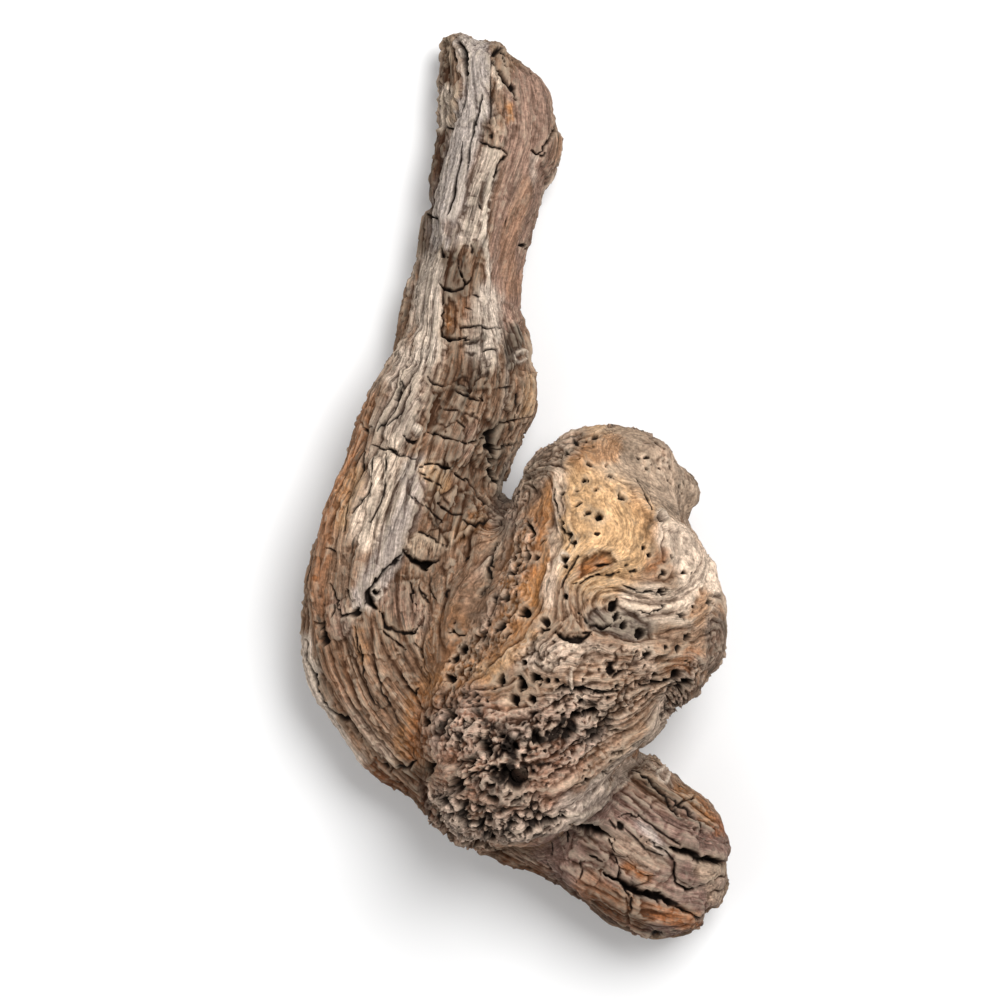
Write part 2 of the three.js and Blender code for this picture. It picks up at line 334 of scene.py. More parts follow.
# The lie of the grain
# The fibres run along the limb from its tip to its foot, and on the burl they follow its flow.
# Rows give a point on the limb's heart, then its half width and half height there.
LIMB_LINE = np.array([
    (-7, 176, 18, 20, 14),
    (-5, 143, 19, 24, 20),
    (-14, 112, 23, 21, 18),
    (-22, 78, 27, 21, 18),
    (-23, 46, 29, 29, 21),
    (-36, 14, 31, 32, 25),
    (-48, -24, 31, 32, 28),
    (-48, -62, 29, 34, 30),
    (-24, -96, 30, 32, 28),
    (5, -116, 30, 32, 27),
    (33, -134, 28, 32, 26),
    (59, -150, 26, 32, 26),
    (86, -157, 25, 26, 21),
], float)
LIMB_STEPS = 400
LIMB_BATCH = 20000  # points set against the heart line at a time
END_FACING = (0.55, 0.85)  # how squarely skin faces along the grain where end grain starts and is full
LIMB_RADIUS = 26  # across the grain the limb is measured as if it were this thick all along
BURL_LUMPS = [  # middle and radii
    ((24, -67, 58), (45, 45, 45)),
    ((31, -28, 56), (38, 41, 43)),
    ((51, -53, 53), (31, 37, 38)),
    ((0, -104, 60), (35, 38, 40)),
    ((25, 1, 53), (18, 23, 31)),
    ((46, 1, 45), (21, 23, 24)),
    ((66, -4, 44), (8, 9, 11)),
]
BURL_LIP = [(424, 780), (440, 760), (500, 780), (560, 812), (556, 828), (520, 842), (470, 856), (430, 830)]
BURL_EDGE = 5.0  # width of the change from the limb's grain to the burl's
LIP_EDGE = 5  # picture points to either side of the lip's outline in which it fades


def along_limb():
    """The limb's heart line in fine steps: its points, directions, half sizes and lengths from the tip."""
    rows = np.vstack([2 * LIMB_LINE[0] - LIMB_LINE[1], LIMB_LINE, 2 * LIMB_LINE[-1] - LIMB_LINE[-2]])
    turn = np.linspace(0, len(LIMB_LINE) - 1.001, LIMB_STEPS)  # ends just short of the last row
    i = turn.astype(int)
    t = (turn - i)[:, None]
    a, b, c, d = rows[i], rows[i + 1], rows[i + 2], rows[i + 3]
    line = b + 0.5 * t * (c - a + t * (2 * a - 5 * b + 4 * c - d + t * (3 * (b - c) + d - a)))
    heart = line[:, :3]
    direction = np.gradient(heart, axis=0)
    step = np.linalg.norm(direction, axis=1)
    return heart, direction / step[:, None], line[:, 3:], np.cumsum(step) - step[0]


def limb_places():
    """Each point's place along the limb, across it and above its heart, how far outside its skin it is,
    and how much it faces along the grain."""
    heart, direction, half, length = along_limb()
    nearest = np.empty(len(places), int)
    for start in range(0, len(places), LIMB_BATCH):
        batch = slice(start, start + LIMB_BATCH)
        apart = -2 * places[batch].astype(np.float32) @ heart.T.astype(np.float32)
        apart += (heart ** 2).sum(1).astype(np.float32)
        nearest[batch] = apart.argmin(1)
    away = places - heart[nearest]
    forward = direction[nearest]
    sideways = np.stack([forward[:, 1], -forward[:, 0], np.zeros(len(places))], axis=1)
    sideways /= np.linalg.norm(sideways, axis=1)[:, None]
    upward = np.cross(sideways, forward)
    along = length[nearest] + np.einsum("ij,ij->i", away, forward)
    across = np.einsum("ij,ij->i", away, sideways) / half[nearest, 0]
    above = np.einsum("ij,ij->i", away, upward) / half[nearest, 1]
    outside = (np.hypot(across, above) - 1) * half[nearest].min(1)
    ends = smooth_step(np.abs(np.einsum("ij,ij->i", outward, forward)), *END_FACING)
    return along, across * LIMB_RADIUS, above * LIMB_RADIUS, outside, ends


def burl_outside():
    """How far each point is outside the nearest of the burl's lumps."""
    gaps = [(np.linalg.norm((places - at) / radii, axis=1) - 1) * min(radii) for at, radii in BURL_LUMPS]
    return np.min(gaps, axis=0)


along, across, above, limb_gap, end_grain = limb_places()
burl = smooth_step(limb_gap - burl_outside(), -BURL_EDGE, BURL_EDGE)
some = near(BURL_LIP, 2 * LIP_EDGE, picture)
lip = np.zeros(len(places))
lip[some] = smooth_step(outline_gap(BURL_LIP, picture[some]), -LIP_EDGE, LIP_EDGE)
burl = np.maximum(burl, lip)

# Noise for everything that weather made: smooth swings, and scattered points for pits
DRAWS = 256  # random draws of each kind
SEED_STEP = 31  # how far apart two seeds start in the draws
SWING_GAIN = 1.6  # brings the swings to about -1 to 1
FAR = 9.0  # further than any scattered point can be, in cells
FLOW_STRAY = 1.3  # millimetres that the burl's fibres stray from the drawn flow
FLOW_STRAY_SIZE = 6
END_SPLIT_LENGTH = 9  # along the grain
END_SPLIT_WIDTH = 0.45  # across it, as a share of the distance from the heart
END_SPLIT_NARROW = 0.05
rng = np.random.default_rng(41)
ORDER = rng.permutation(DRAWS)
SLOPES = rng.normal(size=(DRAWS, 3))
SLOPES /= np.linalg.norm(SLOPES, axis=1)[:, None]
SCATTER = rng.random((DRAWS, 3))
CHANCE = rng.random(DRAWS)


def lattice(cell, seed):
    """The number of the draw for each cell of a grid."""
    hashed = ORDER[(cell[:, 0] + SEED_STEP * seed) % DRAWS]
    hashed = ORDER[(hashed + cell[:, 1]) % DRAWS]
    return ORDER[(hashed + cell[:, 2]) % DRAWS]


def swings(where, seed):
    """Smooth noise, from about -1 to 1, with about one swing to a unit of length."""
    cell = np.floor(where).astype(int)
    inside = where - cell
    fade = inside ** 3 * (inside * (inside * 6 - 15) + 10)
    total = np.zeros(len(where))
    for corner in product((0, 1), repeat=3):
        slope = np.einsum("ij,ij->i", SLOPES[lattice(cell + corner, seed)], inside - corner)
        total += slope * np.prod(np.where(corner, fade, 1 - fade), axis=1)
    return SWING_GAIN * total


def blotches(size, seed):
    """Smooth noise all over the wood, in swings of that size in millimetres."""
    return swings(places / size, seed)


def scattered(where, seed):
    """How far the nearest and the next of points scattered one to a cell are, and which is nearest."""
    cell = np.floor(where).astype(int)
    inside = where - cell
    nearest = np.full(len(where), FAR)
    second = np.full(len(where), FAR)
    number = np.zeros(len(where), int)
    for corner in product((-1, 0, 1), repeat=3):
        hashed = lattice(cell + corner, seed)
        apart = np.linalg.norm(SCATTER[hashed] + corner - inside, axis=1)
        closer = apart < nearest
        second = np.where(closer, nearest, np.minimum(second, apart))
        nearest = np.where(closer, apart, nearest)
        number = np.where(closer, hashed, number)
    return nearest, second, number


end_grain *= 1 - burl
flow += FLOW_STRAY * blotches(FLOW_STRAY_SIZE, 66) * burl
radial = np.stack([across, above, along / END_SPLIT_LENGTH], axis=1)
radial[:, :2] /= END_SPLIT_WIDTH * np.hypot(across, above)[:, None] + 1e-6
end_split = end_grain * np.exp(-(swings(radial, 67) / END_SPLIT_NARROW) ** 2)


def limb_grain(length, width):
    """Places for noise that runs along the limb, in swings of that length and width."""
    return np.stack([along / length, across / width, above / width], axis=1)


def burl_grain(length, width):
    """Places for noise that follows the burl's flow, in swings of that length and width."""
    return np.stack([flow / width, places[:, 0] / length, (places[:, 1] - places[:, 2]) / length], axis=1)


def streaks(length, width, seed):
    """Noise drawn out along the grain, all over the wood."""
    on_limb = swings(limb_grain(length, width), seed)
    on_burl = swings(burl_grain(length, width), seed)
    return on_limb + burl * (on_burl - on_limb)


# Marks drawn on the wood as the camera sees it: lines stray a little, and jump where small blocks meet
STRAY = 1.1  # picture points, as the next two
WANDER = 1.5
JUMP = 3.0
STRAY_SIZE = 2.2  # millimetres, as the next two
WANDER_SIZE = 11
JUMP_SIZE = 3.4
BRUSH_SPREAD = 0.3  # share of its radius by which a soft brush reaches past it
stray = np.stack([blotches(STRAY_SIZE, 3), blotches(STRAY_SIZE, 4)], axis=1)
wander = np.stack([blotches(WANDER_SIZE, 5), blotches(WANDER_SIZE, 6)], axis=1)
jump = SCATTER[scattered(places / JUMP_SIZE, 2)[2], :2] - 0.5
ragged_picture = picture + STRAY * stray + WANDER * wander + JUMP * jump


def brushed(points, radius, softness, where=None):
    """A mask that is 1 along a drawn line and fades out at a radius, all in picture points."""
    where = picture if where is None else where
    mask = np.zeros(len(places))
    some = near(points, radius * (1 + BRUSH_SPREAD), where)
    gap = line_gap(points, where[some])[0]
    mask[some] = 1 - smooth_step(gap, radius * (1 - softness), radius * (1 + BRUSH_SPREAD * softness))
    return mask * seen


# Ridges and grooves of the grain
# Weather eats the soft wood away and leaves the hard grain standing as ribs, with dark lines between.
SMOOTH_WOOD = [  # where the grain hardly stands out: line, radius
    ([(535, 85), (526, 140), (516, 220), (508, 300)], 30),
    ([(478, 55), (470, 130), (452, 215)], 13),
    ([(420, 500), (370, 595)], 12),
    ([(303, 640), (318, 690), (343, 730), (383, 778)], 10),
    ([(600, 470), (620, 540)], 46),
    ([(640, 460), (685, 490)], 36),
    ([(580, 848), (640, 862), (700, 880)], 46),
]
RIBBED_WOOD = [
    ([(410, 370), (385, 440), (360, 540)], 30),
    ([(320, 640), (350, 730), (420, 800)], 26),
]
CORDS = [  # rounded cords of fibres: line and half width in picture points, height in millimetres
    ([(468, 42), (478, 60), (480, 85), (474, 118), (463, 150), (455, 178), (448, 210),
      (441, 238)], 12, 2.2),
    ([(486, 98), (479, 135), (468, 170), (459, 205), (453, 226)], 5, 1.2),
    ([(452, 40), (455, 80), (449, 130)], 7, 1.6),
    ([(491, 173), (487, 200), (481, 238), (486, 262), (488, 295)], 3, 1.2),
    ([(471, 196), (470, 206)], 7, 1.6),
    ([(481, 172), (482, 182)], 5, 1.2),
    ([(463, 222), (474, 232)], 6, 1.2),
    ([(520, 70), (526, 120), (520, 180), (512, 250)], 9, 1.0),
    ([(418, 367), (416, 394), (412, 413), (403, 432), (393, 447)], 6, 2.0),
    ([(406, 362), (401, 390), (387, 420), (379, 437)], 7, 2.2),
    ([(392, 372), (380, 400), (366, 430)], 6, 1.6),
    ([(391, 452), (390, 478), (385, 505), (377, 522)], 6, 2.0),
    ([(375, 452), (375, 485), (370, 516)], 6, 2.0),
    ([(362, 447), (357, 490), (350, 525), (340, 560)], 6, 1.8),
    ([(404, 462), (402, 490), (398, 520)], 5, 1.4),
    ([(308, 640), (318, 682), (345, 721), (364, 753), (400, 790)], 7, 1.8),
    ([(559, 470), (556, 498), (560, 521), (555, 543), (551, 562), (546, 587), (543, 604)], 4, 1.1),
    ([(567, 492), (569, 521), (574, 538)], 3, 1.0),
    ([(632, 480), (645, 504), (657, 518), (679, 527), (700, 545)], 5, 1.2),
    ([(575, 590), (596, 582), (616, 582), (640, 588), (664, 588), (690, 576)], 6, 1.8),
    ([(574, 608), (582, 596), (598, 591), (618, 597)], 6, 1.5),
    ([(630, 605), (652, 611), (679, 605), (702, 590)], 5, 1.3),
    ([(560, 646), (600, 644), (640, 650), (680, 648)], 8, 1.8),
    ([(545, 800), (570, 783), (610, 753), (646, 727), (667, 700)], 7, 2.0),
    ([(470, 826), (520, 829), (560, 822), (590, 803), (631, 771)], 8, 2.0),
    ([(571, 671), (574, 693)], 2, 2.2),
    ([(640, 770), (680, 805), (715, 835)], 7, 1.8),
    ([(620, 790), (660, 825), (700, 850)], 6, 1.5),
    ([(580, 835), (630, 850), (670, 880)], 8, 1.6),
    ([(560, 862), (600, 890), (650, 915)], 8, 1.6),
]
WOOD_SOFTNESS = 0.9
RIBBED_GAIN = 0.5  # share by which the grain stands out more on ribbed wood
SMOOTH_LOSS = 0.75  # share of it that is lost on smooth wood
END_LOSS = 0.75  # and on end grain
KNOB = [(640, 448), (690, 490)]  # the small knob behind the burl, where the grain is lost
KNOB_RADIUS = 42
KNOB_SOFTNESS = 0.6
KNOB_LOSS = 0.7  # share of the grain that is lost there
SWELLS = [  # height and size of the slow rises and dips, in millimetres, and seed
    (1.1, 34, 7),
    (0.7, 19, 8),
]
LIP_HEIGHT = 2.2
END_SPLIT_DEPTH = 2.0
RIB_HEIGHT = 1.6
RIB_BURL_LOSS = 0.5  # share of the ribs that is lost on the burl
RIBS = (120, 13, 9)  # length, width and seed, as for the next two
SHARP_RIB_HEIGHT = 0.7
SHARP_RIBS = (40, 5, 18)
FINE_RIB_HEIGHT = 0.3
FINE_RIBS = (22, 1.9, 14)
GROOVES = [  # depth; length, width, narrowness, seed; size and seed of the patches that have them;
    # how much the ribs add to the patches; noise at which they start and are full
    (1.9, (95, 9, 0.09, 10), (23, 11), 0.5, (0.2, 0.7)),
    (0.9, (60, 4.2, 0.15, 12), (15, 13), 0.6, (0.0, 0.6)),
    (0.4, (34, 2.2, 0.2, 16), (9, 17), 0.5, (0.0, 0.6)),
]
FLAKES = [  # share, and length, width and seed, of the noise that flakes are cut from
    (1, (46, 11, 60)),
    (0.5, (14, 5, 61)),
]
FLAKE_RAGGED = 0.25
FLAKE_RAGGED_SIZE = 3.2
FLAKE_BURL_LOSS = 0.65  # share of the flakes that is missing on the burl
FLAKE_SMOOTH_LOSS = 0.5  # on smooth wood
FLAKE_END_LOSS = 0.6  # and on end grain
FLAKE_HEIGHT = 2.0
FLAKE_STEPS = 3.2  # steps that flakes make in one swing
FLAKE_RISE = 0.2  # share of a step in which it rises
SCALE_LENGTH = 21  # from one scale's broken edge to the next, along the grain
SCALE_STRAYS = [  # share of a scale's length by which its edge strays, size and seed
    (0.9, 30, 75),
    (0.3, 2.6, 71),
]
SCALE_TONGUE = 0.7  # the same for tongues along the grain, with their length and width
SCALE_TONGUES = (26, 7)
SCALE_HEIGHT = 1.2
SCALE_RISE = 0.9  # share of a scale over which it rises before it breaks off
SCALE_EDGE = 0.97  # where on a scale its broken edge is, with painted shade below it
SCALE_EDGE_WIDTH = 0.035
BURL_GRAINS = [  # height, size and seed of the burl's finest lumps
    (0.3, 3.4, 73),
    (0.22, 1.7, 74),
]
CORD_MARGIN = 8
CORD_WANDER = 2.5
CORD_STRAY = 0.6
RUN_OUT = 0.12  # share of its line in which a cord or a ledge runs out at either end
smooth_wood = np.max([brushed(line, radius, WOOD_SOFTNESS) for line, radius in SMOOTH_WOOD], axis=0)
ribbed_wood = np.max([brushed(line, radius, WOOD_SOFTNESS) for line, radius in RIBBED_WOOD], axis=0)
knob = brushed(KNOB, KNOB_RADIUS, KNOB_SOFTNESS)
ribbed = (1 + RIBBED_GAIN * ribbed_wood) * (1 - SMOOTH_LOSS * smooth_wood)
ribbed *= (1 - END_LOSS * end_grain) * (1 - KNOB_LOSS * knob)


def grooves(length, width, narrow, seed):
    """Lines cut along the grain, 1 at the bottom and 0 between them."""
    return np.exp(-(streaks(length, width, seed) / narrow) ** 2)


def terraces(height, steps, sharp):
    """A height cut into flat steps, as wood flakes off in layers."""
    level = height * steps
    whole = np.floor(level)
    return (whole + smooth_step(level - whole, 1 - sharp, 1)) / steps


relief = LIP_HEIGHT * lip - END_SPLIT_DEPTH * end_split
for height, size, seed in SWELLS:
    relief += height * blotches(size, seed)
relief += RIB_HEIGHT * ribbed * streaks(*RIBS) * (1 - RIB_BURL_LOSS * burl)
for depth, shape, patch, ribs_part, patch_range in GROOVES:
    patchy = smooth_step(blotches(*patch) + ribs_part * ribbed, *patch_range)
    relief -= depth * ribbed * grooves(*shape) * patchy
relief += SHARP_RIB_HEIGHT * ribbed * (0.5 - np.abs(streaks(*SHARP_RIBS)))
relief += FINE_RIB_HEIGHT * ribbed * streaks(*FINE_RIBS)
flakes = sum(share * streaks(*shape) for share, shape in FLAKES)
flakes += FLAKE_RAGGED * blotches(FLAKE_RAGGED_SIZE, 62)
flaky = (1 - FLAKE_BURL_LOSS * burl) * (1 - FLAKE_SMOOTH_LOSS * smooth_wood)
flaky *= 1 - FLAKE_END_LOSS * end_grain
flake_steps = FLAKE_HEIGHT * flaky * terraces(flakes, FLAKE_STEPS, FLAKE_RISE)
relief += flake_steps
layer = along / SCALE_LENGTH + SCALE_TONGUE * swings(limb_grain(*SCALE_TONGUES), 70)
for stray_share, size, seed in SCALE_STRAYS:
    layer += stray_share * blotches(size, seed)
layer -= np.floor(layer)
scaly = flaky * (1 - burl) * smooth_step(blotches(22, 72), -0.25, 0.35)
relief += SCALE_HEIGHT * scaly * np.minimum(layer / SCALE_RISE, (1 - layer) / (1 - SCALE_RISE))
# painted shade at each scale's broken edge
scale_edge = scaly * np.exp(-((layer - SCALE_EDGE) / SCALE_EDGE_WIDTH) ** 2)
for height, size, seed in BURL_GRAINS:
    relief += height * burl * blotches(size, seed)
for line, half_width, height in CORDS:
    some = near(line, half_width + CORD_MARGIN, ragged_picture)
    gap, share, _ = line_gap(line, picture[some] + CORD_WANDER * wander[some] + CORD_STRAY * stray[some])
    ends = smooth_step(np.minimum(share, 1 - share), 0, RUN_OUT)
    relief[some] += height * ends * np.sqrt(np.clip(1 - (gap / half_width) ** 2, 0, 1))

# Blocks of the old heart wood, where drying has cracked the arm across the grain
BLOCKS = [  # line, radius
    ([(462, 392), (460, 450), (450, 520)], 32),
    ([(470, 330), (480, 370)], 18),
    ([(520, 380), (508, 440)], 14),
    ([(590, 850), (640, 890)], 30),
]
BLOCK_SOFTNESS = 0.7
HIDDEN_BLOCKS = 0.7  # how strong they are on the sides that the camera doesn't see
BLOCK_SIZE = (13.0, 6.0, 9.0)  # along the grain, across it and up
BLOCK_STRAY = 0.10  # in blocks, as the next
BLOCK_GAP = (0.01, 0.10)
BLOCK_GAP_DEPTH = 0.9
# how dark the painted shade in the gaps between blocks is
BLOCK_GAP_DARK = 0.7
BLOCK_STEP = 2.6  # the most by which two blocks differ in height
BLOCK_FIBRE_HEIGHT = 0.35
BLOCK_FLATNESS = 0.75  # share of the flakes that is missing on blocks
TRACE = 0.02  # a mask that is weaker than this is left out
blocky = np.max([brushed(line, radius, BLOCK_SOFTNESS) for line, radius in BLOCKS], axis=0) * (1 - burl)
hidden_blocks = HIDDEN_BLOCKS * (1 - seen) * (1 - burl) * smooth_step(blotches(33, 63), 0.2, 0.5)
blocky = np.maximum(blocky, hidden_blocks)
relief += blocky * (BLOCK_FIBRE_HEIGHT * streaks(34, 2.0, 76) - BLOCK_FLATNESS * flake_steps)
in_blocks = np.flatnonzero(blocky > TRACE)
block_places = np.stack([along, across, above], axis=1)[in_blocks] / BLOCK_SIZE
block_places += BLOCK_STRAY * np.hstack([stray, wander[:, :1]])[in_blocks]
first, second, number = scattered(block_places, 64)
block_gap = 1 - smooth_step(second - first, *BLOCK_GAP)
block_gap *= smooth_step(swings(places[in_blocks] / 8, 65), -0.35, 0.25)
blocked = np.zeros(len(places))
# painted shade in the gaps between blocks
blocked[in_blocks] = BLOCK_GAP_DARK * blocky[in_blocks] * block_gap
relief[in_blocks] += blocky[in_blocks] * (BLOCK_STEP * (CHANCE[number] - 0.5) - BLOCK_GAP_DEPTH * block_gap)
block_tone = np.zeros(len(places))
block_tone[in_blocks] = blocky[in_blocks] * (SCATTER[number, 0] - 0.5)

# Worm holes, pits and sponge on the burl
# Borers and rot have eaten the burl's lower face into a sponge; its crown has only scattered holes.
SPONGE = [  # line, radius, strength
    ([(462, 725), (495, 762), (540, 745), (580, 722)], 48, 1.0),
    ([(600, 712), (645, 690)], 26, 0.6),
    ([(444, 806), (475, 822), (530, 814)], 30, 1.0),
    ([(530, 655), (640, 662)], 24, 0.5),
    ([(716, 640), (718, 664)], 12, 0.35),
    ([(694, 672), (682, 690), (668, 716)], 14, 0.8),
    ([(506, 512), (522, 480), (545, 458), (572, 440)], 18, 0.4),
    ([(522, 530), (505, 610), (460, 670)], 20, 0.5),
    ([(655, 450), (690, 480)], 24, 0.2),
]
COBBLES = [  # spacing, depth of the gaps, unevenness: the lumps that rot has left standing
    (10.0, 2.6, 1.8),
    (4.8, 1.2, 0.9),
]
PIT_SIZES = [  # spacing, radius at most, depth, share of the sponge and of the sound wood that has them
    (7.0, 0.36, 5.0, 0.65, 0.03),
    (4.2, 0.42, 3.6, 0.80, 0.05),
    (2.8, 0.42, 2.2, 0.80, 0.07),
]
LEAN = np.array([0.83, 0.55, 0])  # lumps and pits are drawn out this way, up to the right
DRAWN_OUT = 0.42  # share by which they are longer that way
SPONGE_SOFTNESS = 0.8
HIDDEN_SPONGE = 0.8  # how strong it is on the sides that the camera doesn't see
COBBLE_BEND = 0.24  # in cobbles or pits, as the next three
COBBLE_GAP = (0.04, 0.28)
PIT_BEND = 0.22
WALL_BEND = 0.3
SMALLEST_PIT = 0.45  # share of the largest one's radius
PIT_FLOOR = 0.5  # share of a pit's radius that is at its full depth
SOUND_DEPTH = 0.5  # share of a pit's depth that it has in sound wood
WALL_SIZE = 4.2  # of the thin walls left between pits
WALL_HEIGHT = 0.9
WALL_NARROW = 0.16
WALL_UNEVEN = 0.5
hidden_sponge = HIDDEN_SPONGE * burl * (1 - seen) * smooth_step(blotches(30, 15), -0.2, 0.4)
drawn_sponge = [strength * brushed(line, radius, SPONGE_SOFTNESS) for line, radius, strength in SPONGE]
sponge = np.maximum(np.max(drawn_sponge, axis=0) * burl, hidden_sponge)
# marks for the painted shade in the pits and in the gaps between the sponge's lumps
pitted = np.zeros(len(places))
gapped = np.zeros(len(places))
lump_tone = np.zeros(len(places))
on_burl = np.flatnonzero(burl > TRACE)
bend = np.hstack([stray[on_burl], wander[on_burl, :1]])
drawn_out = places[on_burl] - DRAWN_OUT * (places[on_burl] @ LEAN)[:, None] * LEAN
eaten = sponge[on_burl]
for seed, (spacing, depth, uneven_by) in enumerate(COBBLES, 24):
    first, second, number = scattered(drawn_out / spacing + COBBLE_BEND * bend, seed)
    gap = 1 - smooth_step(second - first, *COBBLE_GAP)
    gap *= smooth_step(swings(places[on_burl] / spacing, seed + 4), -0.3, 0.3)
    relief[on_burl] += eaten * (2 * uneven_by * (CHANCE[number] - 0.5) - depth * gap)
    gapped[on_burl] = np.maximum(gapped[on_burl], eaten * gap)
    lump_tone[on_burl] += eaten * (CHANCE[number] - 0.5)
for seed, (spacing, widest, depth, share, sound_share) in enumerate(PIT_SIZES, 20):
    first, _, number = scattered(drawn_out / spacing + PIT_BEND * bend, seed)
    limit = sound_share + (share - sound_share) * eaten
    size = widest * (SMALLEST_PIT + (1 - SMALLEST_PIT) * CHANCE[number] / limit)
    pit = (CHANCE[number] < limit) * (1 - smooth_step(first, PIT_FLOOR * size, size))
    relief[on_burl] -= depth * pit * (SOUND_DEPTH + (1 - SOUND_DEPTH) * eaten)
    pitted[on_burl] = np.maximum(pitted[on_burl], pit)
wall = swings(drawn_out / WALL_SIZE + WALL_BEND * bend, 30)
relief[on_burl] += eaten * (WALL_UNEVEN * wall + WALL_HEIGHT * np.exp(-(wall / WALL_NARROW) ** 2))

